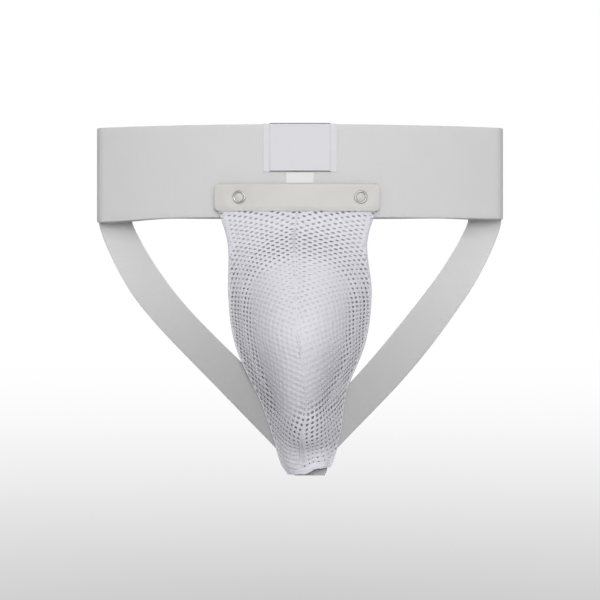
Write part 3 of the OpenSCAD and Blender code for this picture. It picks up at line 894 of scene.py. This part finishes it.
def knit_mesh(name, tint):
    """Polyester mesh yarn: small knit loops with a soft shine.

    It has painted shade on the middle of the lower dome, where the mesh faces down, and a painted highlight
    at the tip, stronger on the right.
    """
    finish = Finish(name)
    x, _, z = finish.split(finish.place())
    loops = ((z + 0.4 * x) / (0.9 * MM)).wave() * (x / (0.7 * MM)).wave()
    fuzz = finish.noise(0.45 * MM, 3.0)
    clouds = finish.noise(14 * MM, 1.0)
    base = finish.blend(0.3 * (1 - loops) + 0.25 * clouds, tint, shade(tint, 0.88))
    # Painted shade: the middle of the lower dome is darkened where the mesh faces down, away from the key
    # light
    drawn = z.step(TIP + 48 * MM, TIP + 68 * MM) * (1 - z.step(TIP + 98 * MM, TIP + 123 * MM))
    middle = 1 - (x * x / MM).step(0.5, 1.3)
    base = finish.blend(0.6 * (drawn * middle), base, shade(tint, 0.83))
    # Painted highlight: the tip is paled, more on its right than on its left
    painted_tip_light = 1 - z.step(TIP + 16 * MM, TIP + 28 * MM)
    pale = finish.blend(x.step(-6 * MM, 14 * MM), shade(tint, 0.98), shade(tint, 1.18))
    base = finish.blend(0.9 * painted_tip_light, base, pale)
    return finish.surface(
        base, roughness=0.6 + 0.2 * fuzz, height=0.6 * loops + 0.4 * fuzz, depth=0.12 * MM, strength=0.5,
        sheen_weight=0.15, sheen_roughness=0.4)


def fine_knit(name, tint):
    """Lining knit: rows of small chevron loops, thin enough to let light through from behind."""
    finish = Finish(name)
    x, _, z = finish.split(finish.place())
    column = x / (1.1 * MM)
    wales = column.math("PINGPONG", column, 0.5)
    loops = ((z + 0.9 * MM * wales) / (0.9 * MM)).wave()
    fuzz = finish.noise(0.4 * MM, 3.0)
    clouds = finish.noise(20 * MM, 1.0)
    knit = loops * (2 * wales) ** 0.6
    base = finish.blend(0.4 * (1 - knit) + 0.2 * clouds, tint, shade(tint, 0.82))
    return finish.surface(
        base, roughness=0.75 + 0.15 * fuzz, height=0.75 * knit + 0.25 * fuzz, depth=0.2 * MM, strength=0.55,
        sheen_weight=0.15, subsurface_weight=1.0, subsurface_radius=(1.0, 1.0, 1.0), subsurface_scale=6 * MM)


def twill_tape(name, tint):
    """Binding tape and thread: a fine slanted twill."""
    finish = Finish(name)
    x, _, z = finish.split(finish.place())
    twill = ((x + z) / (0.7 * MM)).wave()
    fuzz = finish.noise(0.4 * MM, 3.0)
    base = finish.blend(0.35 * (1 - twill) + 0.25 * fuzz, tint, shade(tint, 0.85))
    return finish.surface(
        base, roughness=0.75 + 0.1 * fuzz, height=0.7 * twill + 0.3 * fuzz, depth=0.12 * MM, strength=0.5,
        sheen_weight=0.1)


def moulded_plastic(name, tint):
    """Moulded polypropylene: faint flow clouds and a fine satin texture."""
    finish = Finish(name)
    clouds = finish.noise(30 * MM, 2.0)
    grain = finish.noise(0.5 * MM, 2.0)
    base = finish.blend(0.5 * clouds, tint, shade(tint, 0.93))
    return finish.surface(
        base, roughness=0.34 + 0.14 * grain, height=grain, depth=0.03 * MM, strength=0.35,
        specular_ior_level=0.5)


def soft_rubber(name, tint):
    """Soft rubber with a dusty, pitted skin."""
    finish = Finish(name)
    pits = finish.noise(0.8 * MM, 3.0)
    dust = finish.noise(12 * MM, 2.0)
    base = finish.blend(0.5 * dust, tint, shade(tint, 1.12))
    return finish.surface(
        base, roughness=0.72 + 0.2 * pits, height=pits, depth=0.12 * MM, strength=0.4, specular_ior_level=0.3)


def plated_nickel(name, tint):
    """Nickel plate with fine scuffs and dull patches."""
    finish = Finish(name)
    scuffs = finish.noise(0.25 * MM, 4.0)
    patches = finish.noise(2.5 * MM, 2.0)
    base = finish.blend(0.6 * patches, tint, shade(tint, 0.8))
    roughness = 0.2 + 0.15 * patches + 0.1 * scuffs
    return finish.surface(base, roughness, height=scuffs, depth=0.02 * MM, strength=0.3, metallic=1.0)


# Operators, one for each piece or group of like pieces


class GUARD_OT_waistband(bpy.types.Operator):
    """Models the wide elastic waistband and its sewn lap"""

    bl_idname = "guard.waistband"
    bl_label = "Waistband"

    def execute(self, context):
        size = sizes()
        loop = Loop()
        tall = BAND_HIGH.z - BAND_LOW.z - size.band_drop
        lap_off = BAND_HIGH.y + BAND_LOW.y
        ramp = 4 * size.band_lap / 5
        lap_start = loop.length - size.band_lap - ramp

        def place(u, v):
            s = u * loop.length
            x, y = loop.at(s, lap_off * rising(s, lap_start, ramp) - size.band_t / 2)
            sag = size.band_sag * falling(x, -100 * MM, 70 * MM) * (1 - v)
            return x, y, BAND_LOW.z + v * tall + self.rise(y) - sag

        band = cloth("waistband_elastic", 340, 12, (loop.length, tall), place, size.band_t, edge=0.9 * MM)
        dress(band, BELT, "waist_elastic", woven_elastic("waist_elastic", colours().elastic), "waistband")
        self.lap_stitches(loop, lap_off)
        return {"FINISHED"}

    def lap_stitches(self, loop, lap_off):
        """Three rows of stitches up the lap, outside and inside."""
        size = sizes()
        margin = 3 * MM
        rows = []
        for share_in in (0.12, 0.5, 0.88):
            s = loop.length - share_in * size.band_lap
            for off in (lap_off + size.stitch_over, -size.band_t - size.stitch_over):
                x, y = loop.at(s, off)
                low, high = BAND_LOW.z + margin + self.rise(y), BAND_HIGH.z - margin + self.rise(y)
                rows.append([(x, y, z) for z in np.linspace(low, high, 24)])
        stitches("waistband_lap_stitches", rows, BELT, twill_tape("lap_thread", colours().tape))

    def rise(self, y):
        """How far the band sits higher towards its back."""
        return sizes().back_rise * rising(y, 12 * MM, 18 * MM)


class GUARD_OT_labels(bpy.types.Operator):
    """Models the bare woven label, its dark edge yarn that paints a shadow line under its loose edges, and
    the size tag under it
    """

    bl_idname = "guard.labels"
    bl_label = "Label and size tag"

    def execute(self, context):
        loop = Loop()
        self.label(loop)
        self.tag(loop)
        return {"FINISHED"}

    def label(self, loop):
        """The label: sewn down at its folded margins, loose and bowed at the top and foot of its middle."""
        size = sizes()
        half = LABEL_HIGH.x
        tall = LABEL_HIGH.z - LABEL_LOW.z - size.band_drop / 2
        body = half - size.label_margin
        fold, bow, foot_rise = 1.2 * MM, 0.35 * MM, 0.8 * MM

        def place(u, v):
            s = mix(-half, half, u)
            inner = falling(abs(s), body + fold / 2, fold)
            middle = math.sin(math.pi * min(max((s + body) / (2 * body), 0), 1))
            loose = abs(2 * v - 1) ** 6
            off = size.sewn_gap + size.label_t / 2 + inner * (size.label_lift + bow * middle * loose)
            x, y = loop.front(s, off)
            return x, y, LABEL_LOW.z + v * tall + inner * foot_rise * max(1 - 2 * v, 0) ** 3

        label = cloth(
            "front_label_weave", 96, 36, (2 * half, tall), place, size.label_t, edge=0.12 * MM, segments=2)
        dress(label, BELT, "label_weave", woven_satin("label_weave", colours().label), "front_label")

        # A dark yarn along the loose top and foot of the middle paints a shadow line over the real shade of
        # those lifted edges
        reach = body / half / 2
        across = np.linspace(0.5 - reach, 0.5 + reach, 60)
        yarn = tube("label_edge_yarn", [[place(u, v) for u in across] for v in (0.0, 1.0)], radius=0.42 * MM)
        dress(yarn, BELT, "label_weave", twisted_yarn("label_edge_yarn", colours().label_shadow_edge))

    def tag(self, loop):
        """The size tag, curled away from the waistband at its loose foot."""
        size = sizes()
        half = TAG_HIGH.x
        tall = TAG_HIGH.z - TAG_LOW.z
        curl = 0.6 * MM

        def place(u, v):
            off = size.sewn_gap + size.tag_t / 2 + curl * (1 - v) ** 2 * (0.6 + 0.4 * math.cos(3 * u))
            x, y = loop.front(mix(-half, half, u), off)
            return x, y, TAG_LOW.z + v * tall

        tag = cloth("size_tag_weave", 24, 12, (2 * half, tall), place, size.tag_t, edge=0.1 * MM, segments=2)
        dress(tag, BELT, "tag_weave", woven_satin("tag_weave", colours().tag), "size_tag")


class GUARD_OT_closure_strip(bpy.types.Operator):
    """Models the folded vinyl strip that holds the top of the pouch"""

    bl_idname = "guard.closure_strip"
    bl_label = "Closure strip"

    puff, dome, ripple = 0.45 * MM, 0.55 * MM, 0.18 * MM

    def execute(self, context):
        size = sizes()
        loop = Loop()
        half = STRIP_HIGH.x - size.strip_trim
        low, high = STRIP_LOW.z, STRIP_HIGH.z
        band_y = loop.front(0, 0)[1]
        middle = 5 * MM
        back_y = max(v.co.y for v in NODES["closure_strip"].data.vertices if abs(v.co.x) < middle)
        front = band_y - STRIP_LOW.y - size.strip_ply / 2
        back = band_y - back_y + size.strip_ply / 2
        fold = (front - back) / 2
        ply = high - low - fold - size.strip_ply / 2
        run = 2 * ply + math.pi * fold

        def section(v):
            """Offset and height on the folded section: up the front, over the fold and down the back."""
            t = v * run
            if t < ply:
                return front, low + t
            if t < ply + math.pi * fold:
                turn = (t - ply) / fold
                return (front + back) / 2 + fold * math.cos(turn), low + ply + fold * math.sin(turn)
            return back, low + run - t

        def place(u, v):
            off, z = section(v)
            corner = size.strip_corner
            near = max(min(z - low, high - z), 0)
            inset = corner - math.sqrt(max(corner ** 2 - max(corner - near, 0) ** 2, 0))
            s = mix(-1, 1, u) * (half - inset) - size.top_sway
            if off > (front + back) / 2:
                off += self.swell(s, z, loop)
            x, y = loop.front(s, off)
            return x, y, z

        strip = cloth("closure_strip_vinyl", 150, 60, (2 * half, run), place, size.strip_ply, edge=0.4 * MM)
        dress(strip, FLAP, "strip_vinyl", grained_vinyl("strip_vinyl", colours().vinyl), "closure_strip")
        margin = 2.6 * MM
        over = front + size.strip_ply / 2 + size.stitch_over
        row = [(*loop.front(s, over), low + margin)
               for s in np.linspace(-half + margin, half - margin, 120) - size.top_sway]
        stitches("closure_strip_stitches", [row], FLAP, twill_tape("strip_thread", colours().vinyl))
        return {"FINISHED"}

    def swell(self, s, z, loop):
        """Swell of the front ply: pinched by the snaps, domed inside their rings and rippled elsewhere."""
        size = sizes()
        snap_z = (RING_LOW.z + RING_HIGH.z) / 2
        snap_s = loop.r * math.asin(size.snap_pitch / 2 / loop.r)
        gap = min(math.hypot(s - side * snap_s, z - snap_z) for side in (-1, 1))
        puff = self.puff * rising(gap, 5.5 * MM, 9 * MM)
        wave = self.ripple * math.sin(s / (9 * MM) + 1.3 * math.sin(z / (6 * MM)))
        ripple = wave * rising(gap, 6 * MM, 5 * MM)
        return (puff + ripple) * rising(z, STRIP_LOW.z, 4 * MM) + self.dome * ease(1 - gap / size.snap_ring)


class GUARD_OT_snaps(bpy.types.Operator):
    """Gives the snap fasteners their nickel plate"""

    bl_idname = "guard.snaps"
    bl_label = "Snaps"

    def execute(self, context):
        nickel = plated_nickel("snap_nickel", colours().nickel)
        for node in ("snap_ring_caps", "snap_sockets", "snap_studs", "snap_post_rings"):
            NODES[node].data.materials.clear()
            NODES[node].data.materials.append(nickel)
        return {"FINISHED"}


class GUARD_OT_mesh_pouch(bpy.types.Operator):
    """Models the two mesh panels of the pouch, their seam and its tape, their edges and the tip's hem"""

    bl_idname = "guard.mesh_pouch"
    bl_label = "Mesh pouch"

    width, spare = 118 * MM, 14 * MM
    tip_closed = {-1: 0.62, 1: 0.35}
    fold_share = {-1: 1.0, 1: 0.3}

    def execute(self, context):
        skin = Skin()
        drape = Drape(skin)
        finish = knit_mesh("pouch_mesh", colours().mesh)
        wide, tall, area = skin.flat()
        for side, word in SIDES:
            name = "mesh_panel_" + word
            panel = self.panel(name, side, skin, drape)
            dress(panel, FLAP, "pouch_mesh", finish, name)
        self.seam(skin, finish)
        self.edges(skin)
        self.tape(skin)
        self.hem(skin, finish)
        return {"FINISHED"}

    def cell(self, name):
        """One cell of the mesh: a square of cloth with a round hole, its lips low and its corners high."""
        quarter, slack = 0.25, 0.05
        bpy.ops.object.select_all(action="DESELECT")
        bpy.ops.mesh.primitive_plane_add(size=1)
        cell = bpy.context.object
        cell.name = cell.data.name = name
        in_edit_mode(cell, (bpy.ops.mesh.subdivide, {"number_cuts": 3}))
        keep_faces(cell, lambda face: max(abs(face.center.x), abs(face.center.y)) > quarter)
        points = points_of(cell)
        reach = np.abs(points[:, :2])
        lip = reach.max(1) < quarter + slack
        points[lip, :2] *= sizes().hole / np.linalg.norm(points[lip, :2], axis=1, keepdims=True)
        yarn = np.abs(points[:, :2]).min(1) > quarter - slack
        points[:, 2] = np.where(lip, -0.5, 0.5 * yarn)
        return move_points(cell, points)

    def pull(self, z, c, side, skin):
        """How much of its size a hole keeps, and how far it is drawn out along its line, at a place."""
        near_edge = rising(c, 0.62 * skin.last, 0.25 * skin.last)
        high_up = rising(z, STRIP_LOW.z - 46 * MM, 18 * MM)
        by_strip = rising(z, STRIP_LOW.z - 20 * MM, 14 * MM)
        upper = rising(z, CUP_HIGH.z - 25 * MM, 20 * MM)
        arch = between(z, CUP_HIGH.z - 56 * MM, 16 * MM, CUP_HIGH.z - 10 * MM, 12 * MM)
        belly = between(z, TIP + 44 * MM, 16 * MM, TIP + 108 * MM, 20 * MM)
        low = falling(z, TIP + 62 * MM, 16 * MM)
        tip_end = falling(z, TIP + 28 * MM, 10 * MM)
        kept = 1.0
        for zone, closed in (
                (near_edge * (1 - high_up), -0.1),
                (near_edge * high_up, 0.55),
                (arch * (1 - near_edge), 0.26),
                (upper * (1 - near_edge), 0.08),
                (low, 0.1),
                (by_strip, 0.25),
                (tip_end, self.tip_closed[side])):
            kept = kept * (1 - closed * zone)
        drawn_out = 1 + 0.36 * belly * (1 - 0.6 * near_edge)
        return kept, drawn_out

    def panel(self, name, side, skin, drape):
        """One panel: a cell is repeated, laid on the lattice and left off beyond the panel's edges."""
        size = sizes()
        net = self.cell(name + "_net")
        per_cell = len(net.data.vertices)
        places, lines = int(self.width / size.cell), int((drape.run + self.spare) / size.cell)
        repeat(net, places, (1, 0, 0))
        repeat(net, lines, (0, 1, 0))
        points = points_of(net)
        copy = np.arange(len(points)) // per_cell
        line, spot = copy // places, copy % places

        mid_s = (line + 0.5) * size.cell
        start = drape.start(mid_s)
        first = np.floor(start / size.cell) + 1
        mid_a = (spot - first) * size.cell + start
        mid_z, mid_c = drape.find(mid_s, mid_a)
        kept, drawn_out = self.pull(mid_z, mid_c, side, skin)

        s = (points[:, 1] + 0.5) * size.cell
        a = (points[:, 0] - first) * size.cell + drape.start(s)
        lip = points[:, 2] < 0
        s = np.where(lip, mid_s + (s - mid_s) * kept, s)
        a = np.where(lip, mid_a + (a - mid_a) * kept * drawn_out, a)
        z, c = drape.find(s, np.maximum(a, 0))
        z = np.clip(z, skin.tip + tip_lift(side * c / skin.last), skin.top)
        c = np.clip(c, 0, skin.last)
        laid, n = skin.laid(z, side * c)
        gathered = falling(z, TIP + 40 * MM, 16 * MM) * rising(c, 0.08 * skin.last, 0.2 * skin.last)
        folds = size.tip_fold * self.fold_share[side] * gathered * np.sin(2 * math.pi * s / size.cell)
        laid += n * (folds + size.mesh_relief * (points[:, 2] - 0.5) - size.mesh_t / 2)[:, None]
        move_points(net, sway(laid))

        past, under = 0.6 * size.cell, 0.8 * size.cell
        outside = (mid_a < -past) | (mid_c > skin.last + 0.8)
        outside |= (mid_z > skin.top + past) | (mid_z < skin.tip - under)
        drop = set(np.flatnonzero(outside))
        keep_faces(net, lambda face: face.vertices[0] not in drop)
        in_edit_mode(
            net,
            (bpy.ops.mesh.remove_doubles, {"threshold": 0.12 * MM}),
            (bpy.ops.mesh.dissolve_degenerate, {"threshold": 0.05 * MM}),
            (bpy.ops.mesh.normals_make_consistent, {"inside": False}))
        thicken(net, size.mesh_t, even=False)
        return smooth(net, degrees=75)

    def seam(self, skin, finish):
        """The low ridge along the centre seam, and the two welts that it parts into over the tip."""
        size = sizes()
        split = TIP + 42 * MM
        sunk, t = 0.2 * MM, 0.3 * MM
        fine_w, welt_w = 0.35 * size.seam_w, size.seam_w / 2
        for name, high, low, stray, wide, tall in (
                ("ridge", CUP_HIGH.z - 14 * MM, split - 4 * MM, (0.0, 0.0), fine_w, 0.12 * MM),
                ("welt_left", split, skin.tip + 10 * MM, (0.0, -5 * MM), welt_w, size.seam_h),
                ("welt_right", split, skin.tip + 7 * MM, (0.4 * MM, 0.6 * MM), welt_w, size.seam_h)):

            def place(u, v):
                ends = math.sin(math.pi * min(max(u, 0.02), 0.98)) ** 0.4
                swell = tall * math.sin(math.pi * v) * ends
                return skin.over(mix(high, low, u), mix(*stray, u) + (v - 0.5) * wide, swell - sunk)

            piece = cloth("centre_seam_" + name, 160, 8, (high - low, wide), place, t, degrees=60)
            dress(piece, FLAP, "pouch_mesh", finish)

    def edges(self, skin):
        """The rolled edge at each side of the pouch."""
        size = sizes()
        # Painted shade: the rolled edge takes the mesh's finish darkened, so that it shows no brighter than
        # the mesh beside it where it catches the light
        finish = knit_mesh("pouch_edge", shade(colours().mesh, 0.8))
        depth, inset = 0.4 * MM, 0.6
        for side, word in SIDES:

            def place(u, v):
                z = np.array([mix(skin.top, skin.tip + tip_lift(side), u)])
                (point,), _ = skin.laid(z, np.array([side * skin.last]))
                turn = 2 * math.pi * v
                roll = (side * size.edge_w / 2 * (math.cos(turn) - inset), depth * math.sin(turn), 0)
                return sway(point + roll)

            edge = ribbon("pouch_edge_" + word, 160, 10, (skin.top - skin.tip, size.edge_w), place)
            smooth(outwards(edge), degrees=60)
            dress(edge, FLAP, "pouch_mesh", finish)

    def tape(self, skin):
        """The tape behind the centre seam, narrower at its two ends."""
        size = sizes()
        low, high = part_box("centre_seam_tape")
        gap, narrow = 0.05 * MM, 0.35
        back = size.mesh_t + size.mesh_relief + gap + size.tape_t / 2

        def place(u, v):
            z = mix(high.z, low.z, u)
            full = between(z, TIP + 58 * MM, 24 * MM, CUP_HIGH.z - 30 * MM, 24 * MM)
            half = size.tape_w * mix(narrow, 1, full)
            return skin.over(z, mix(-half, half, v), -back)

        flat = (high.z - low.z, 2 * size.tape_w)
        tape = cloth("centre_seam_tape_twill", 120, 8, flat, place, size.tape_t, degrees=60)
        dress(tape, FLAP, "binding_tape", twill_tape("seam_tape", colours().tape), "centre_seam_tape")

    def hem(self, skin, finish):
        """The ruffled hem along the pouch's tip."""
        reach, hem_h, hem_t = 0.88, 3.2 * MM, 0.6 * MM
        out, ruffle = 0.2 * MM, 0.12 * MM

        def place(u, v):
            c = mix(-reach, reach, u)
            tall = hem_h * (1 - 0.8 * abs(c) ** 3)
            z = np.array([skin.tip + tip_lift(c) + v * tall])
            (point,), (n,) = skin.laid(z, np.array([c * skin.last]))
            return sway(point + n * (out + ruffle * math.sin(40 * u)) * (1 - abs(c)))

        flat = (2 * skin.grid[0, -1, 0], 4 * MM)
        hem = cloth("tip_hem", 60, 5, flat, place, hem_t, edge=0.2 * MM, segments=2, degrees=60)
        dress(hem, FLAP, "pouch_mesh", finish)


class GUARD_OT_lining(bpy.types.Operator):
    """Models the lining behind the cup and the tapes on its edges"""

    bl_idname = "guard.lining"
    bl_label = "Lining and tapes"

    def execute(self, context):
        self.lining()
        tape = twill_tape("binding_tape", colours().tape)
        for node in ("edge_tape_left", "edge_tape_right"):
            piece = cad_copy(node, node + "_twill")
            in_edit_mode(piece, (bpy.ops.mesh.tris_convert_to_quads, {}))
            round_edges(piece, width=0.2 * MM, segments=2)
            move_points(piece, sway(points_of(piece)))
            smooth(outwards(piece), degrees=50)
            dress(piece, BELT, "binding_tape", tape, node)
        return {"FINISHED"}

    def lining(self):
        """The lining: it spans the lower end of the cup, and its foot is drawn up with the pouch's tip."""
        low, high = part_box("pouch_lining")
        eye = Vector((0, BEHIND_Y, (low.z + high.z) / 2))
        lining = cad_copy("pouch_lining", "pouch_lining_knit")
        keep_faces(lining, lambda face: face.normal.dot(eye - face.center) > 0)
        in_edit_mode(lining, (bpy.ops.mesh.tris_convert_to_quads, {}))
        modify(lining, "SUBSURF", levels=2, render_levels=2)
        x, y, z = points_of(lining).T
        flat_y = y[z < CUP_LOW.z].max()
        y = mix(y, np.maximum(y, flat_y), falling(z, TIP + 120 * MM, 54 * MM))
        z = z + falling(z, TIP + 14 * MM, 12 * MM) * tip_lift(x / TAB_HIGH.x)
        move_points(lining, sway(np.stack([x, y, z], -1)))
        thicken(lining, sizes().lining_t, offset=-1)
        smooth(lining, degrees=60)
        dress(lining, BELT, "lining_knit", fine_knit("lining_knit", colours().lining), "pouch_lining")
        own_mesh(lining)


class GUARD_OT_cup(bpy.types.Operator):
    """Models the moulded cup and the soft pad on its rim"""

    bl_idname = "guard.cup"
    bl_label = "Cup"

    def execute(self, context):
        self.moulded("cup_shell", 1.0 * MM, "cup_plastic", moulded_plastic("cup_plastic", colours().plastic))
        pad = self.moulded("cup_rim_pad", 0.7 * MM, "rim_rubber", soft_rubber("rim_rubber", colours().rubber))
        return {"FINISHED"}

    def moulded(self, node, voxel, slot, finish):
        """A moulded piece: a copy of its solid, remeshed and smoothed."""
        piece = cad_copy(node, node + "_moulded")
        modify(piece, "REMESH", mode="VOXEL", voxel_size=voxel)
        modify(piece, "SMOOTH", factor=0.5, iterations=8)
        smooth(piece, degrees=60)
        return dress(piece, CUP, slot, finish, node)


class GUARD_OT_leg_straps(bpy.types.Operator):
    """Models the two elastic leg straps, the tab that joins them and their stitches"""

    bl_idname = "guard.leg_straps"
    bl_label = "Leg straps"

    reach = 1.3
    # Shares of a strap's length over which its painted shade deepens towards the foot
    shade_span = (0.46, 0.81)

    def execute(self, context):
        strap = Strap()
        thread = twill_tape("strap_thread", colours().tape)
        # How much colour each strap keeps at its foot under the painted shade: the left one, further from the
        # key light, is darker
        for side, name, thin in ((-1, "leg_strap_left", 0.54), (1, "leg_strap_right", 0.62)):
            self.strap(strap, side, name, thin)
            self.sewn_box(strap, side, name, thread)
        self.tab()
        return {"FINISHED"}

    def strap(self, strap, side, name, thin):
        """One strap, with painted shade that darkens it towards its foot, where the pouch shades it."""
        size = sizes()

        def place(u, v):
            return strap.at(mix(-1, self.reach, u), v) * (-side, 1, 1)

        piece = ribbon(name + "_elastic", 150, 12, (strap.length, size.strap_w), place)
        thicken(piece, size.strap_t, edge=0.6 * MM)
        self.trim(piece, side)
        move_points(piece, strap_sway(points_of(piece)))
        smooth(piece)
        shade_span = [strap.length * part for part in self.shade_span]
        finish = woven_elastic(name + "_elastic", colours().strap, shade_span, thin)
        dress(piece, BELT, "strap_elastic", finish, name)

    def trim(self, piece, side):
        """Cuts the strap level with the pouch's tip and at the middle, where the two straps meet."""
        over, gap = 0.3 * MM, 0.15 * MM
        for co, no in (((0, 0, TIP + over), (0, 0, -1)), ((side * gap, 0, 0), (-side, 0, 0))):
            in_edit_mode(piece, (bpy.ops.mesh.bisect, {
                "plane_co": co, "plane_no": no, "clear_outer": True, "use_fill": True}))
        outwards(piece)

    def sewn_box(self, strap, side, name, thread):
        """The box of stitches that holds a strap on the waistband."""
        top, foot, inset = -0.92, -0.1, 0.12
        over = sizes().strap_t / 2 + sizes().stitch_over
        box = [(top, inset), (top, 1 - inset), (foot, 1 - inset), (foot, inset), (top, inset)]
        corners = [strap.at(t, v, over) * (-side, 1, 1) for t, v in box]
        rows = [[mix(a, b, k) for k in np.linspace(0, 1, 16)] for a, b in zip(corners, corners[1:])]
        stitches(name + "_stitches", rows, BELT, thread)

    def tab(self):
        """The tab behind the tip: its right corner is drawn out and its foot hangs a little lower."""
        flare, drop = 5.8 * MM, 2.7 * MM
        tab = cad_copy("crotch_tab", "crotch_tab_elastic")
        in_edit_mode(tab, (bpy.ops.mesh.subdivide, {"number_cuts": 9}))
        round_edges(tab, width=0.4 * MM, segments=3, degrees=40)
        points = points_of(tab)
        height = points[:, 2] - TAB_LOW.z
        corner = falling(height, 11 * MM, 6 * MM) * mix(0.85, 1, ease(height / (4 * MM)))
        points[:, 0] += flare * corner * ease(points[:, 0] / (8 * MM))
        points[:, 2] -= drop * falling(height, 8 * MM, 6 * MM)
        move_points(tab, sway(points))
        smooth(outwards(tab), degrees=50)
        # Painted shade: the tab takes the strap's colour darkened, as it hangs in shadow behind the pouch's
        # tip
        finish = twill_tape("crotch_tab_shaded_weave", shade(colours().strap, 0.68))
        dress(tab, BELT, "strap_elastic", finish, "crotch_tab")


class GUARD_OT_stage(bpy.types.Operator):
    """Sets up the floor, the lights and the camera"""

    bl_idname = "guard.stage"
    bl_label = "Stage"

    def execute(self, context):
        self.floor()
        self.world(context.scene)
        self.lamps()
        self.camera(context.scene)
        context.scene.view_settings.view_transform = "Standard"
        return {"FINISHED"}

    def floor(self):
        """A wide pale floor that fades to white far from the guard, alike from every side."""
        height, reach = -0.40, 40.0
        grey, fade = 0.44, 1.6
        lit_most, lit_fade = 0.1, 0.9
        bpy.ops.object.select_all(action="DESELECT")
        bpy.ops.mesh.primitive_circle_add(vertices=128, radius=reach, fill_type="NGON")
        floor = bpy.context.object
        floor.name = floor.data.name = "floor"
        in_edit_mode(floor, (bpy.ops.transform.translate, {"value": (0, 0, height)}))
        finish = Finish("floor")
        x, y, _ = finish.split(finish.place())
        far = (x * x + y * y) ** 0.5
        tone = 1 - grey * math.exp(-1 / fade) ** far
        lit_share = lit_most * math.exp(-1 / lit_fade) ** far
        pale = finish.node("ShaderNodeCombineColor", {}, (tone, tone, tone))
        glow = finish.node("ShaderNodeEmission", {}, (pale, 1.0))
        finish.surface(colours().floor, roughness=0.9)
        lit = Value(finish, finish.shader.outputs[0])
        finish.output("Material", finish.node(
            "ShaderNodeMixShader", {}, ((1 - lit_share) * finish.seen(), lit, glow)))
        floor.data.materials.append(finish.material)

    def world(self, scene):
        """Even soft light, and white behind the guard that is dimmer overhead in the metal."""
        ambient, overhead = 0.42, 0.85
        finish = Finish("studio", "worlds")
        scene.world = finish.material
        up = finish.split(finish.node("ShaderNodeTexCoord", output="Generated"))[2]
        dim = overhead * up.step(0.15, 0.7) * finish.node("ShaderNodeLightPath", output="Is Glossy Ray")
        soft, white = [finish.node("ShaderNodeBackground", {}, ((1.0, 1.0, 1.0, 1.0), strength))
                       for strength in (ambient, 1 - dim)]
        finish.output("World", finish.node("ShaderNodeMixShader", {}, (finish.seen(), soft, white)))

    def lamps(self):
        """A soft key with a fill in front, a top light and a back light: place, width and power of each."""
        aim = Vector((0, 0, -0.1))
        for name, spot, wide, power in (
                ("key", (0.2, -2.2, 0.65), 1.2, 18.0),
                ("fill", (0.05, -2.0, 0.25), 0.4, 11.6),
                ("top", (-0.2, -0.6, 1.6), 1.4, 4.0),
                ("back", (-0.4, 2.3, 0.7), 1.6, 20.0)):
            bpy.ops.object.light_add(type="AREA", location=spot)
            lamp = bpy.context.object
            lamp.name = name
            lamp.data.size = wide
            lamp.data.energy = power
            lamp.rotation_euler = (aim - Vector(spot)).to_track_quat("-Z", "Y").to_euler()

    def camera(self, scene):
        """A level camera in front of the guard, at the photograph's height and field."""
        distance, height, half_view, sensor = 1.8, -0.1075, 0.255, 36.0
        bpy.ops.object.camera_add(location=(0, -distance, height), rotation=(math.pi / 2, 0, 0))
        scene.camera = bpy.context.object
        scene.camera.data.sensor_width = sensor
        scene.camera.data.lens = sensor / 2 * distance / half_view


class GUARD_PT_panel(bpy.types.Panel):
    """Lists the steps that model the guard"""

    bl_idname = "GUARD_PT_panel"
    bl_label = "Guard"
    bl_space_type = "VIEW_3D"
    bl_region_type = "UI"
    bl_category = "Guard"

    def draw(self, context):
        for step in STEPS:
            self.layout.operator(step.bl_idname)
        for group in (context.scene.guard_sizes, context.scene.guard_colours):
            for name in group.__annotations__:
                self.layout.prop(group, name)


STEPS = (
    GUARD_OT_waistband, GUARD_OT_labels, GUARD_OT_closure_strip, GUARD_OT_snaps, GUARD_OT_mesh_pouch,
    GUARD_OT_lining, GUARD_OT_cup, GUARD_OT_leg_straps, GUARD_OT_stage)
CLASSES = (GuardSizes, GuardColours, *STEPS, GUARD_PT_panel)


def register():
    for one in CLASSES:
        bpy.utils.register_class(one)
    bpy.types.Scene.guard_sizes = bpy.props.PointerProperty(type=GuardSizes)
    bpy.types.Scene.guard_colours = bpy.props.PointerProperty(type=GuardColours)


def unregister():
    del bpy.types.Scene.guard_colours
    del bpy.types.Scene.guard_sizes
    for one in reversed(CLASSES):
        bpy.utils.unregister_class(one)


def main():
    register()
    bpy.ops.object.select_all(action="DESELECT")
    for step in STEPS:
        group, name = step.bl_idname.split(".")
        getattr(getattr(bpy.ops, group), name)()


if __name__ == "__main__":
    main()
